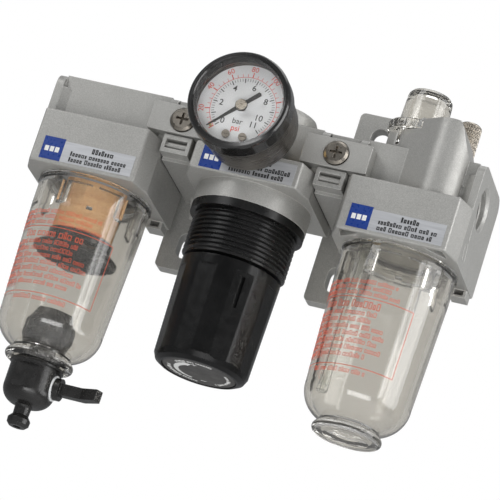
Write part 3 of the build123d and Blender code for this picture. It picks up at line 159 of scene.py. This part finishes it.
# ---- materials ----------------------------------------------------------------------------
def cast_alloy():
    """Zinc casting under a satin silver finish: fine sparkle, soft blotches, and a painted highlight along
    the sharp edges.
    """
    s = Shader("cast_alloy", Metallic=0.35)
    speckle = s.noise(0.00022, detail=3)
    blotch = s.noise(0.009, detail=3)
    base = s.mix(s.remap(blotch, 0.0, 1.0), (0.375, 0.37, 0.35), (0.435, 0.43, 0.41))
    sparkle = s.ramp(speckle, (0.3, (0.27, 0.266, 0.252)), (0.5, (0.42, 0.415, 0.395)),
                     (0.72, (0.64, 0.635, 0.61)))
    skin = s.mix(0.55, base, sparkle)
    # painted highlight: the sharp edges are painted a brighter silver (0.72, 0.715, 0.69)
    s.paint(s.mix(s.worn_edges(0.00035), skin, (0.72, 0.715, 0.69)))
    s.rough(s.remap(s.noise(0.0012, detail=4), 0.36, 0.5))
    s.relief(speckle, 0.00005, strength=0.3, edge=0.00035)
    return s


def clear_wall(name, tint, roughness=0.03):
    s = Shader(name, Transmission_Weight=0.975, IOR=1.5, Base_Color=tint)
    s.rough(s.remap(s.noise(0.006, detail=2), roughness, roughness + 0.05))
    s.relief(s.noise(0.012, detail=1), 0.0001, strength=0.25)
    s.pass_lamp_light(tint)
    return s


def clear_bowl():
    """Clear polycarbonate with faint flow ripples from moulding."""
    return clear_wall("clear_bowl", (0.90, 0.89, 0.865))


def clear_tube():
    return clear_wall("clear_tube", (0.88, 0.885, 0.86), roughness=0.12)


def gauge_glass():
    s = Shader("gauge_glass", Transmission_Weight=1.0, IOR=1.49, Base_Color=(0.98, 0.98, 0.98))
    s.rough(s.remap(s.noise(0.004), 0.005, 0.02))
    s.pass_lamp_light((0.97, 0.97, 0.97))
    return s


def sintered_tan():
    """Sintered bead filter element, coarse and matt."""
    s = Shader("sintered_tan")
    bead = s.node("TexVoronoi")
    bead.inputs["Scale"].default_value = 1 / 0.00055
    s.link(s.place, bead.inputs["Vector"])
    distance = bead.outputs["Distance"]
    bands = s.noise(0.004, detail=3, stretch=(0.6, 0.6, 1.6))
    warm = s.mix(s.remap(bands, 0.0, 1.0), (0.60, 0.33, 0.14), (0.78, 0.50, 0.25))
    s.paint(s.mix(s.remap(distance, 0.0, 0.45, start=0.1, end=0.9), warm, (0.36, 0.18, 0.08)))
    s.rough(s.remap(distance, 0.7, 0.95, start=0.0, end=0.8))
    s.relief(distance, 0.0001, strength=0.5)
    return s


def moulded(name, colour, low, high, grain=0.0004, depth=0.00004, edge=0.0002, **sockets):
    """Moulded plastic: fine texture, slightly uneven colour and gloss, softened edges."""
    s = Shader(name, **sockets)
    lighter = tuple(min(1.0, channel * 1.45 + 0.004) for channel in colour)
    s.paint(s.mix(s.remap(s.noise(0.007, detail=4), 0.0, 1.0), colour, lighter))
    s.rough(s.remap(s.noise(0.0025, detail=4), low, high))
    s.relief(s.noise(grain, detail=2), depth, strength=0.3, edge=edge)
    return s


def black_plastic():
    return moulded("black_plastic", (0.010, 0.0095, 0.009), 0.2, 0.34)


def grey_plastic():
    return moulded("grey_plastic", (0.24, 0.25, 0.27), 0.38, 0.5)


def bonnet_black():
    return moulded("bonnet_black", (0.006, 0.006, 0.006), 0.24, 0.36, Specular_IOR_Level=0.4)


def knob_black():
    return moulded("knob_black", (0.0035, 0.0035, 0.0035), 0.16, 0.26, grain=0.0007, depth=0.00002,
                   edge=0.0005, Specular_IOR_Level=0.24)


def disc_grey():
    return moulded("disc_grey", (0.055, 0.053, 0.05), 0.4, 0.55)


def rubber_black():
    return moulded("rubber_black", (0.012, 0.012, 0.012), 0.55, 0.75, grain=0.0003)


def white_washer():
    return moulded("white_washer", (0.72, 0.74, 0.74), 0.4, 0.5)


def machined(name, colour, low, high, stretch=(1, 1, 12)):
    """Turned metal: fine lathe lines and a slight tarnish."""
    s = Shader(name, Metallic=1.0)
    lines = s.noise(0.0012, detail=4, stretch=stretch)
    dull = tuple(channel * 0.62 for channel in colour)
    s.paint(s.mix(s.remap(s.noise(0.003, detail=4), 0.0, 0.7), colour, dull))
    s.rough(s.remap(lines, low, high))
    s.relief(lines, 0.00004, strength=0.2, edge=0.00015)
    return s


def brass():
    return machined("brass", (0.72, 0.53, 0.26), 0.2, 0.38)


def aluminium_plate():
    return machined("aluminium_plate", (0.72, 0.72, 0.72), 0.25, 0.4)


def spring_steel():
    return machined("spring_steel", (0.46, 0.46, 0.46), 0.2, 0.35)


def nickel():
    return machined("nickel", (0.56, 0.51, 0.44), 0.22, 0.36)


def gauge_black():
    """Stoved gloss enamel."""
    s = Shader("gauge_black", Coat_Weight=0.5, Coat_Roughness=0.08)
    s.paint(s.ramp(s.noise(0.006, detail=3), (0.35, (0.005, 0.005, 0.005)), (0.7, (0.012, 0.011, 0.010))))
    s.rough(s.remap(s.noise(0.0015, detail=3), 0.2, 0.28))
    s.relief(s.noise(0.003, detail=1), 0.00003, strength=0.1, edge=0.0004)
    return s


def gauge_shell():
    """Black-nickelled steel drawn into a cup, with fine brush lines round its axis."""
    s = Shader("gauge_shell", Metallic=0.9)
    brush = s.noise(0.0005, detail=4, stretch=(0.06, 1.0, 0.06))
    s.paint(s.ramp(brush, (0.3, (0.085, 0.075, 0.065)), (0.7, (0.15, 0.135, 0.12))))
    s.rough(s.remap(brush, 0.22, 0.36))
    s.relief(brush, 0.00002, strength=0.15, edge=0.0004)
    return s


def screw_steel():
    """Dark passivated steel of the screws that hold the clamps and the dial."""
    return machined("screw_steel", (0.33, 0.30, 0.26), 0.24, 0.4, stretch=(1, 1, 1))


def dial_white():
    s = Shader("dial_white")
    s.paint(s.ramp(s.noise(0.004, detail=3), (0.3, (0.66, 0.67, 0.68)), (0.7, (0.70, 0.71, 0.72))))
    s.rough(s.remap(s.noise(0.0006), 0.4, 0.5))
    return s


def pointer_black():
    return moulded("pointer_black", (0.01, 0.01, 0.01), 0.35, 0.45, edge=0.0)


def label_silver():
    """Brushed foil label."""
    s = Shader("label_silver", Metallic=0.45)
    brush = s.noise(0.0006, detail=3, stretch=(0.06, 1, 1))
    s.paint(s.ramp(brush, (0.3, (0.50, 0.51, 0.53)), (0.7, (0.60, 0.61, 0.63))))
    s.rough(s.remap(brush, 0.34, 0.46))
    s.relief(brush, 0.00002, strength=0.2)
    return s


def label_blue():
    s = Shader("label_blue")
    s.paint(s.ramp(s.noise(0.003), (0.3, (0.008, 0.040, 0.245)), (0.7, (0.010, 0.048, 0.275))))
    s.rough(s.remap(s.noise(0.0008), 0.25, 0.35))
    return s


MAKERS = (cast_alloy, clear_bowl, clear_tube, gauge_glass, sintered_tan, black_plastic, grey_plastic,
          bonnet_black, knob_black, disc_grey, rubber_black, white_washer, brass, aluminium_plate,
          spring_steel, nickel, gauge_black, dial_white, pointer_black, label_silver, label_blue)
MATERIALS = {maker.__name__: maker().material for maker in MAKERS}
for node, piece in NODES.items():
    piece.data.materials.clear()
    piece.data.materials.append(MATERIALS[SLOT_OF[node]])
NODES["gauge_case"].data.materials[0] = gauge_shell().material
NODES["gauge_hub"].data.materials[0] = MATERIALS["nickel"]
for screws in ("clamp_screws", "gauge_dial_screws"):
    NODES[screws].data.materials[0] = screw_steel().material


def ink(name, colour):
    """Printed ink, a little uneven."""
    s = Shader(name)
    thin = tuple(min(1.0, channel * 1.25 + 0.01) for channel in colour)
    s.paint(s.mix(s.remap(s.noise(0.0009, detail=3), 0.0, 0.8), colour, thin))
    s.rough(s.remap(s.noise(0.0005), 0.38, 0.5))
    return s.material


BLACK_INK = ink("black_ink", (0.012, 0.012, 0.012))
RED_INK = ink("red_ink", (0.60, 0.06, 0.04))
BOWL_INK = ink("bowl_ink", (0.62, 0.10, 0.05))
WHITE_INK = ink("white_ink", (0.78, 0.78, 0.76))

# ---- camera, floor and light --------------------------------------------------------------
CAMERA_PLACE = (0.307, -1.010, -0.346)
CAMERA_TURN, CAMERA_RISE, CAMERA_ROLL = 17.21, 17.19, 17.99     # degrees
CAMERA_LENS, SENSOR_WIDTH = 252.1, 36.0
ROOM_LIGHT = 0.27
# painted shade: the darker grey the backdrop takes when seen through clear plastic
PAINTED_SHADE_BEHIND_PLASTIC = (0.50, 0.485, 0.45)


def add_camera():
    data = bpy.data.cameras.new("camera")
    data.lens = CAMERA_LENS
    data.sensor_width = SENSOR_WIDTH
    data.clip_start = 0.05
    camera = bpy.data.objects.new("camera", data)
    turn = Matrix.Rotation(math.radians(CAMERA_TURN), 4, "Z")
    rise = Matrix.Rotation(math.radians(90 + CAMERA_RISE), 4, "X")
    roll = Matrix.Rotation(math.radians(CAMERA_ROLL), 4, "Z")
    camera.matrix_world = Matrix.Translation(CAMERA_PLACE) @ turn @ rise @ roll
    bpy.context.scene.collection.objects.link(camera)
    bpy.context.scene.camera = camera


def add_softbox(name, place, size, power, aim=(0.0, -0.03, -0.04)):
    data = bpy.data.lights.new(name, "AREA")
    data.shape = "RECTANGLE"
    data.size, data.size_y = size
    data.energy = power
    lamp = bpy.data.objects.new(name, data)
    lamp.location = place
    lamp.rotation_euler = (Vector(aim) - Vector(place)).to_track_quat("-Z", "Y").to_euler()
    bpy.context.scene.collection.objects.link(lamp)


def add_floor(height=-0.62, half=2.0):
    mesh = bpy.data.meshes.new("studio_floor")
    corners = [(-half, -half, height), (half, -half, height), (half, half, height), (-half, half, height)]
    mesh.from_pydata(corners, [], [(0, 1, 2, 3)])
    floor = bpy.data.objects.new("studio_floor", mesh)
    s = Shader("studio_floor")
    s.paint(s.ramp(s.noise(0.02, detail=4), (0.3, (0.78, 0.78, 0.78)), (0.7, (0.82, 0.82, 0.82))))
    s.set("Roughness", 0.6)
    mesh.materials.append(s.material)
    bpy.context.scene.collection.objects.link(floor)


def add_world():
    """White paper behind the object in a dim room, with painted shade: a darker grey wherever the view
    passes through clear plastic.
    """
    world = bpy.data.worlds.new("studio")
    world.use_nodes = True
    tree = world.node_tree
    room = tree.nodes["Background"]
    room.inputs["Color"].default_value = (0.95, 0.97, 1.0, 1.0)
    room.inputs["Strength"].default_value = ROOM_LIGHT
    path = tree.nodes.new("ShaderNodeLightPath")
    shown = room.outputs["Background"]
    # rays through clear plastic see the painted shade; camera rays see the white paper
    for ray, colour in (("Is Transmission Ray", PAINTED_SHADE_BEHIND_PLASTIC), ("Is Camera Ray", (1.0, 1.0, 1.0))):
        backdrop_and_shade = tree.nodes.new("ShaderNodeBackground")
        backdrop_and_shade.inputs["Color"].default_value = (*colour, 1.0)
        mix = tree.nodes.new("ShaderNodeMixShader")
        tree.links.new(path.outputs[ray], mix.inputs["Fac"])
        tree.links.new(shown, mix.inputs[1])
        tree.links.new(backdrop_and_shade.outputs["Background"], mix.inputs[2])
        shown = mix.outputs["Shader"]
    tree.links.new(shown, tree.nodes["World Output"].inputs["Surface"])
    bpy.context.scene.world = world


add_camera()
add_floor()
add_world()
add_softbox("key_softbox", (-0.62, -0.72, 0.62), (0.5, 0.7), 4.0)
add_softbox("right_strip", (0.86, -0.52, 0.22), (0.14, 0.9), 1.7)
add_softbox("right_fill", (0.95, -0.10, 0.05), (0.6, 0.8), 5.5)
add_softbox("low_softbox", (0.25, -0.85, -0.60), (0.9, 0.5), 7.0)
add_softbox("top_softbox", (0.1, 0.15, 0.9), (0.8, 0.5), 2.0)
bpy.context.scene.view_settings.view_transform = "Standard"

# ---- printed pieces -----------------------------------------------------------------------
INK_HEIGHT, INK_GAP = 0.00004, 0.00001       # thickness of a print, and how far it stands off the surface
AXIS_Y = -0.030
FILTER_X, REGULATOR_X, LUBRICATOR_X = -0.050, 0.0, 0.050


def add_piece(name, mesh, body, material):
    piece = bpy.data.objects.new(name, mesh)
    mesh.materials.clear()
    mesh.materials.append(material)
    bpy.context.scene.collection.objects.link(piece)
    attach(piece, body)
    return piece


def bar(mesh, place, left, right, low, high, pieces=1):
    """One printed bar: a closed thin strip that follows the surface given by place(u, v, height)."""
    rings = []
    for index in range(pieces + 1):
        u = left + (right - left) * index / pieces
        corners = ((low, 0), (high, 0), (high, INK_HEIGHT), (low, INK_HEIGHT))
        rings.append([mesh.verts.new(place(u, v, height)) for v, height in corners])
    for first, second in zip(rings, rings[1:]):
        for side in range(4):
            mesh.faces.new((first[side - 1], first[side], second[side], second[side - 1]))
    mesh.faces.new(rings[0])
    mesh.faces.new(reversed(rings[-1]))


MARK_WIDTHS = (0.34, 0.48, 0.48, 0.62)       # shares of the row's height
MARK_HEIGHTS = (0.72, 0.72, 1.0)
MARK_GAP, WORD_GAP = 0.17, 0.4


def mark(mesh, place, left, low, width, height, stroke):
    """One greeked character: an upright box outline, never a letter."""
    right, high = left + width, low + height
    bar(mesh, place, left, right, high - stroke, high)
    bar(mesh, place, left, right, low, low + stroke)
    bar(mesh, place, left, left + stroke, low + stroke, high - stroke)
    bar(mesh, place, right - stroke, right, low + stroke, high - stroke)


def greeked_row(mesh, place, left, right, low, height, rng, stroke_share=0.1):
    """A row of greeked words between left and right: boxes of mixed widths and heights."""
    u = left
    while u < right:
        for _ in range(rng.randint(3, 8)):
            width = height * rng.choice(MARK_WIDTHS)
            if u + width > right:
                return
            mark(mesh, place, u, low, width, height * rng.choice(MARK_HEIGHTS), stroke_share * height)
            u += width + MARK_GAP * height
        u += WORD_GAP * height


def finish_print(name, mesh, body, material):
    bmesh.ops.recalc_face_normals(mesh, faces=mesh.faces)
    data = bpy.data.meshes.new(name)
    mesh.to_mesh(data)
    mesh.free()
    return add_piece(name, data, body, material)


# ---- red prints on the bowls --------------------------------------------------------------
BOWL_TOP_R, BOWL_LOW_R = 0.0179, 0.0165
BOWL_TAPER_TOP, BOWL_TAPER_LOW = -0.031, -0.0665
FRAME_LEFT, FRAME_RIGHT = math.radians(-98), math.radians(42.5)     # before the bowl is turned
FRAME_TOP, FRAME_BOTTOM, FRAME_LINE = -0.0408, -0.0622, 0.0002
FRAME_PIECES, FRAME_SIDE_PIECES = 48, 12
ROW_HEIGHT, ROW_PITCH, ROW_LEFT = 0.00145, 0.0022, -92
SMALL_HEIGHT, SMALL_PITCH = 0.0012, 0.0018
TITLE_HEIGHT = 0.0022


def on_bowl(axis_x, turned):
    """Print coordinates on a bowl: angle from the front towards +X, height, distance off the wall."""
    def place(angle, z, height):
        angle += turned
        down = min(1.0, max(0.0, (BOWL_TAPER_TOP - z) / (BOWL_TAPER_TOP - BOWL_TAPER_LOW)))
        radius = BOWL_TOP_R + (BOWL_LOW_R - BOWL_TOP_R) * down + height + INK_GAP
        return (axis_x + radius * math.sin(angle), AXIS_Y - radius * math.cos(angle), z)
    return place


def unrolled(place, radius):
    """The same surface with its first coordinate in metres along the wall."""
    return lambda u, v, height: place(u / radius, v, height)


def bowl_print(name, axis_x, body, seed, turned):
    """A red frame with rows of greeked marks above, inside and below it."""
    rng = random.Random(seed)
    place = on_bowl(axis_x, turned)
    flat = unrolled(place, BOWL_TOP_R)
    mesh = bmesh.new()
    for z in (FRAME_TOP, FRAME_BOTTOM):
        bar(mesh, place, FRAME_LEFT, FRAME_RIGHT, z - FRAME_LINE / 2, z + FRAME_LINE / 2, FRAME_PIECES)
    half_line = FRAME_LINE / 2 / BOWL_TOP_R
    for angle in (FRAME_LEFT, FRAME_RIGHT):
        for step in range(FRAME_SIDE_PIECES):
            low = FRAME_BOTTOM + (FRAME_TOP - FRAME_BOTTOM) * step / FRAME_SIDE_PIECES
            high = FRAME_BOTTOM + (FRAME_TOP - FRAME_BOTTOM) * (step + 1) / FRAME_SIDE_PIECES
            bar(mesh, place, angle - half_line, angle + half_line, low, high)

    def row(start, end, low, height=ROW_HEIGHT):
        """A row from start to end, in degrees round the bowl."""
        greeked_row(mesh, flat, math.radians(start) * BOWL_TOP_R, math.radians(end) * BOWL_TOP_R, low,
                    height, rng)

    for index, end in enumerate((22, 15, 27)):
        row(ROW_LEFT, end, FRAME_TOP + 0.0045 - SMALL_PITCH * index, SMALL_HEIGHT)
    row(-60, 14, FRAME_TOP - 0.0032, TITLE_HEIGHT)
    for index, end in enumerate((8, 4, 20, 25, 16, 23, 10)):
        row(ROW_LEFT, end, FRAME_TOP - 0.0055 - ROW_PITCH * index)
    row(-50, 13, FRAME_BOTTOM - ROW_PITCH)
    finish_print(name, mesh, body, BOWL_INK)


bowl_print("filter_bowl_print", FILTER_X, "filter_bowl", 3, math.radians(13.5))
bowl_print("lubricator_bowl_print", LUBRICATOR_X, "lubricator_bowl", 8, math.radians(1.0))


# ---- greeked labels -----------------------------------------------------------------------
LABEL_HEIGHT = 0.0068
LABEL_ROWS = ((0.0018, 0.0090, 0.0045, 0.0017), (-0.0048, 0.0144, 0.0025, 0.0015),
              (-0.0048, 0.0132, 0.0006, 0.0015))       # left, right, low, height
SQUARE_MARKS, SQUARE_MARK_PITCH, SQUARE_MARK_WIDTH = 3, 0.0017, 0.0013
SQUARE_MARK_INSET, SQUARE_MARK_LOW, SQUARE_MARK_HIGH = 0.0010, 0.0026, 0.0043


def label_prints():
    """Rows of dark marks on the silver labels, and three pale marks in each blue square."""
    rng = random.Random(5)
    dark, pale = bmesh.new(), bmesh.new()
    silver_low, silver_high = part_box("silver_labels")
    front = silver_low.y
    blue_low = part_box("blue_label_squares")[0]
    heads = ((FILTER_X, silver_low.z), (LUBRICATOR_X, silver_low.z),
             (REGULATOR_X, silver_high.z - LABEL_HEIGHT))

    def place(u, v, height):
        return (u, front - height - INK_GAP, v)

    for axis_x, low in heads:
        for row_left, row_right, row_low, row_height in LABEL_ROWS:
            greeked_row(dark, place, axis_x + row_left, axis_x + row_right, low + row_low, row_height, rng,
                        stroke_share=0.2)
        left = axis_x + blue_low.x - FILTER_X
        for index in range(SQUARE_MARKS):
            start = left + SQUARE_MARK_INSET + SQUARE_MARK_PITCH * index
            bar(pale, place, start, start + SQUARE_MARK_WIDTH, low + SQUARE_MARK_LOW, low + SQUARE_MARK_HIGH)
    finish_print("label_rows", dark, "root", BLACK_INK)
    finish_print("label_square_marks", pale, "root", WHITE_INK)


label_prints()

# ---- gauge dial ---------------------------------------------------------------------------
DIAL_CENTRE_Z = 0.0014
DIAL_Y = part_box("gauge_dial")[0].y
ZERO_ANGLE, SWEEP = 225.0, 270.0
BAR_FULL, PSI_FULL = 11.0, 160.0
RING_R, RING_WIDTH = 0.0101, 0.00014
BAR_TICKS, BAR_BOLD, PSI_STEP, PSI_BOLD = 5, 5, 5, 4      # ticks per bar and per bold tick, psi per tick
NUMBER_R, TEN_R, ELEVEN_R, PSI_NUMBER_R = 0.0071, 0.0060, 0.0065, 0.0128


def on_dial(u, v, height):
    return (u, DIAL_Y - height - INK_GAP, DIAL_CENTRE_Z + v)


def ring_on_dial(angle, radius, height):
    """Dial coordinates with the angle first, measured clockwise from the right."""
    return on_dial(radius * math.cos(-angle), radius * math.sin(-angle), height)


def tick(mesh, angle, inner, outer, width):
    """A radial tick at angle degrees, counted anticlockwise from the right."""
    turn = math.radians(angle)

    def place(u, v, height):
        return on_dial(u * math.cos(turn) - v * math.sin(turn), u * math.sin(turn) + v * math.cos(turn),
                       height)

    bar(mesh, place, inner, outer, -width / 2, width / 2)


def written(text, size, centre, turn=0.0, embolden=0.0):
    """A word as a thin closed mesh, centred at centre on the dial and turned anticlockwise."""
    curve = bpy.data.curves.new("word", "FONT")
    curve.body = text
    curve.size = size
    curve.offset = embolden
    curve.align_x, curve.align_y = "CENTER", "CENTER"
    curve.extrude = INK_HEIGHT / 2
    curve.resolution_u = 6
    holder = bpy.data.objects.new("word", curve)
    bpy.context.scene.collection.objects.link(holder)
    bpy.context.view_layer.update()
    mesh = bpy.data.meshes.new_from_object(holder.evaluated_get(bpy.context.evaluated_depsgraph_get()))
    bpy.data.objects.remove(holder)
    stand = Matrix.Rotation(math.radians(90), 4, "X")
    spin = Matrix.Rotation(math.radians(turn), 4, "Z")
    lift = Matrix.Translation(on_dial(*centre, INK_HEIGHT / 2))
    mesh.transform(lift @ stand @ spin)
    return mesh


def at_dial(radius, angle):
    return radius * math.cos(math.radians(angle)), radius * math.sin(math.radians(angle))


def dial_prints():
    """A black bar scale inside a red ring and a red psi scale outside it."""
    black, red = bmesh.new(), bmesh.new()
    words = {black: [], red: []}
    start, end = math.radians(-ZERO_ANGLE), math.radians(SWEEP - ZERO_ANGLE)
    bar(red, ring_on_dial, start, end, RING_R, RING_R + RING_WIDTH, pieces=90)
    for index in range(int(BAR_FULL * BAR_TICKS) + 1):
        angle = ZERO_ANGLE - SWEEP * index / BAR_TICKS / BAR_FULL
        bold = index % BAR_BOLD == 0
        inner = RING_R - (0.0018 if bold else 0.0013)
        tick(black, angle, inner, RING_R - 0.0004, 0.00028 if bold else 0.00013)
    for index in range(int(PSI_FULL / PSI_STEP) + 1):
        angle = ZERO_ANGLE - SWEEP * PSI_STEP * index / PSI_FULL
        bold = index % PSI_BOLD == 0
        outer = RING_R + (0.0017 if bold else 0.0011)
        tick(red, angle, RING_R, outer, 0.0003 if bold else 0.00014)
    for value in (0, 2, 4, 6, 8, 10, 11):
        angle = ZERO_ANGLE - SWEEP * value / BAR_FULL
        radius = {10: TEN_R, 11: ELEVEN_R}.get(value, NUMBER_R)
        words[black].append(written(str(value), 0.0027, at_dial(radius, angle), embolden=0.00002))
    for value in range(20, 160, 20):
        angle = ZERO_ANGLE - SWEEP * value / PSI_FULL
        words[red].append(written(str(value), 0.0023, at_dial(PSI_NUMBER_R, angle), turn=angle - 90))
    words[black].append(written("bar", 0.0025, (-0.0004, -0.0044)))
    words[red].append(written("psi", 0.0025, (-0.0004, -0.0067), embolden=0.00002))
    for sheet, meshes in words.items():
        for word in meshes:
            sheet.from_mesh(word)
    finish_print("dial_bar_scale", black, "root", BLACK_INK)
    finish_print("dial_psi_scale", red, "root", RED_INK)


dial_prints()


# ---- marks on the knob's disc -------------------------------------------------------------
ARROW_R, ARROW_TAIL, ARROW_GROWTH, ARROW_HEAD = 0.0072, 0.0003, 0.0008, 0.0013
ARROW_STEPS, HEAD_STEPS = 24, 6
ARROW_START, ARROW_END, HEAD_SWEEP = math.radians(-150), math.radians(-25), math.radians(16)
DISC_RING_R, DISC_MARK_HEIGHT = 0.0095, 0.0012


def disc_marks():
    """Curved arrow, plus and minus signs and a ring of greeked marks, all facing down."""
    mesh = bmesh.new()
    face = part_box("knob_disc")[0].z
    rng = random.Random(11)

    def place(angle, radius, height):
        return (radius * math.sin(angle), AXIS_Y - radius * math.cos(angle), face - height - INK_GAP)

    def flat(u, v, height):
        return (u, AXIS_Y - v, face - height - INK_GAP)

    def round_ring(u, v, height):
        return place(u / DISC_RING_R, DISC_RING_R + v, height)

    # the arrow widens towards its head
    for step in range(ARROW_STEPS):
        start = ARROW_START + (ARROW_END - ARROW_START) * step / ARROW_STEPS
        end = ARROW_START + (ARROW_END - ARROW_START) * (step + 1) / ARROW_STEPS
        half = ARROW_TAIL + ARROW_GROWTH * step / ARROW_STEPS
        bar(mesh, place, start, end, ARROW_R - half, ARROW_R + half)
    for step in range(HEAD_STEPS):
        start = ARROW_END + HEAD_SWEEP * step / HEAD_STEPS
        end = ARROW_END + HEAD_SWEEP * (step + 1) / HEAD_STEPS
        half = ARROW_HEAD * (1 - step / HEAD_STEPS) + 0.0001
        bar(mesh, place, start, end, ARROW_R - half, ARROW_R + half)
    # plus sign, then minus sign
    bar(mesh, flat, -0.0009, 0.0009, 0.00715, 0.00745)
    bar(mesh, flat, -0.00015, 0.00015, 0.0064, 0.0082)
    bar(mesh, flat, -0.0009, 0.0009, -0.0075, -0.0072)
    for start, end in ((-165, -70), (-40, 40), (75, 160)):
        greeked_row(mesh, round_ring, math.radians(start) * DISC_RING_R, math.radians(end) * DISC_RING_R,
                    -DISC_MARK_HEIGHT / 2, DISC_MARK_HEIGHT, rng, stroke_share=0.2)
    finish_print("knob_disc_marks", mesh, "knob", WHITE_INK)


disc_marks()


# ---- threads in the ports -----------------------------------------------------------------
HEAD_HALF = 0.020
PITCH, THREAD_TURNS, THREAD_SEGMENTS, THREAD_START = 0.001337, 7, 48, 0.0013
CREST_R, ROOT_R, CREST_HALF, ROOT_HALF = 0.00574, 0.0063, 0.08, 0.42     # half widths in pitches


def port_thread(name, mouth_x, side):
    """A helical G1/4 thread ridge inside a port's bore, run out over its first and last turns."""
    mesh = bmesh.new()
    rings = []
    count = THREAD_TURNS * THREAD_SEGMENTS
    for index in range(count + 1):
        angle = 2 * math.pi * index / THREAD_SEGMENTS
        x = mouth_x - side * (THREAD_START + PITCH * index / THREAD_SEGMENTS)
        fade = min(1.0, index / THREAD_SEGMENTS, (count - index) / THREAD_SEGMENTS)
        crest = ROOT_R - (ROOT_R - CREST_R) * fade
        ring = []
        for offset, radius in ((-ROOT_HALF, ROOT_R), (-CREST_HALF, crest), (CREST_HALF, crest),
                               (ROOT_HALF, ROOT_R)):
            ring.append(mesh.verts.new((x - side * offset * PITCH, AXIS_Y + radius * math.cos(angle),
                                        radius * math.sin(angle))))
        rings.append(ring)
    for first, second in zip(rings, rings[1:]):
        for edge in range(4):
            mesh.faces.new((first[edge - 1], first[edge], second[edge], second[edge - 1]))
    mesh.faces.new(rings[0])
    mesh.faces.new(reversed(rings[-1]))
    piece = finish_print(name, mesh, "root", MATERIALS["cast_alloy"])
    piece.data.shade_smooth()


port_thread("inlet_port_thread", FILTER_X - HEAD_HALF, -1)
port_thread("outlet_port_thread", LUBRICATOR_X + HEAD_HALF, 1)


# ---- knurled fill plug --------------------------------------------------------------------
KNURL_TEETH, KNURL_COLUMNS, KNURL_LEVELS = 30, 120, 33
KNURL_DEPTH, KNURL_PITCH, KNURL_SHARPNESS = 0.0004, 0.0011, 2.6
STEM_R = 0.0027


def knurl_cut(angle, along):
    """Depth of the diamond knurl at an angle round the plug and a height along it."""
    across = angle * KNURL_TEETH / (2 * math.pi)
    nearest = min(abs((across + side * along / KNURL_PITCH) % 1.0 - 0.5) for side in (1, -1))
    return KNURL_DEPTH * (1 - min(1.0, KNURL_SHARPNESS * nearest))


def knurled_plug():
    """The fill plug with a diamond knurl round its head, on the CAD plug's stem and seat."""
    low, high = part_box("fill_plug")
    centre = (low + high) / 2
    head_r = (high.x - low.x) / 2
    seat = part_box("fill_plug_oring")[1].z + 0.0001
    knurl_low, knurl_high = seat + 0.0007, high.z - 0.0009
    profile = [(STEM_R - 0.0004, low.z, False), (STEM_R, low.z + 0.0004, False), (STEM_R, seat, False),
               (head_r - 0.0007, seat, False), (head_r - 0.0003, seat + 0.0004, False)]
    for level in range(KNURL_LEVELS + 1):
        profile.append((head_r, knurl_low + (knurl_high - knurl_low) * level / KNURL_LEVELS, True))
    profile += [(head_r - 0.0003, high.z - 0.0005, False), (head_r - 0.0009, high.z, False)]
    mesh = bmesh.new()
    rings = []
    for radius, z, knurled in profile:
        ring = []
        for column in range(KNURL_COLUMNS):
            angle = 2 * math.pi * column / KNURL_COLUMNS
            reach = radius - (knurl_cut(angle, z - knurl_low) if knurled else 0.0)
            ring.append(mesh.verts.new((centre.x + reach * math.cos(angle),
                                        centre.y + reach * math.sin(angle), z)))
        rings.append(ring)
    for lower, upper in zip(rings, rings[1:]):
        for column in range(KNURL_COLUMNS):
            mesh.faces.new((lower[column - 1], lower[column], upper[column], upper[column - 1]))
    mesh.faces.new(reversed(rings[0]))
    mesh.faces.new(rings[-1])
    piece = finish_print("knurled_fill_plug", mesh, "fill_plug", MATERIALS["nickel"])
    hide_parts("fill_plug")


knurled_plug()
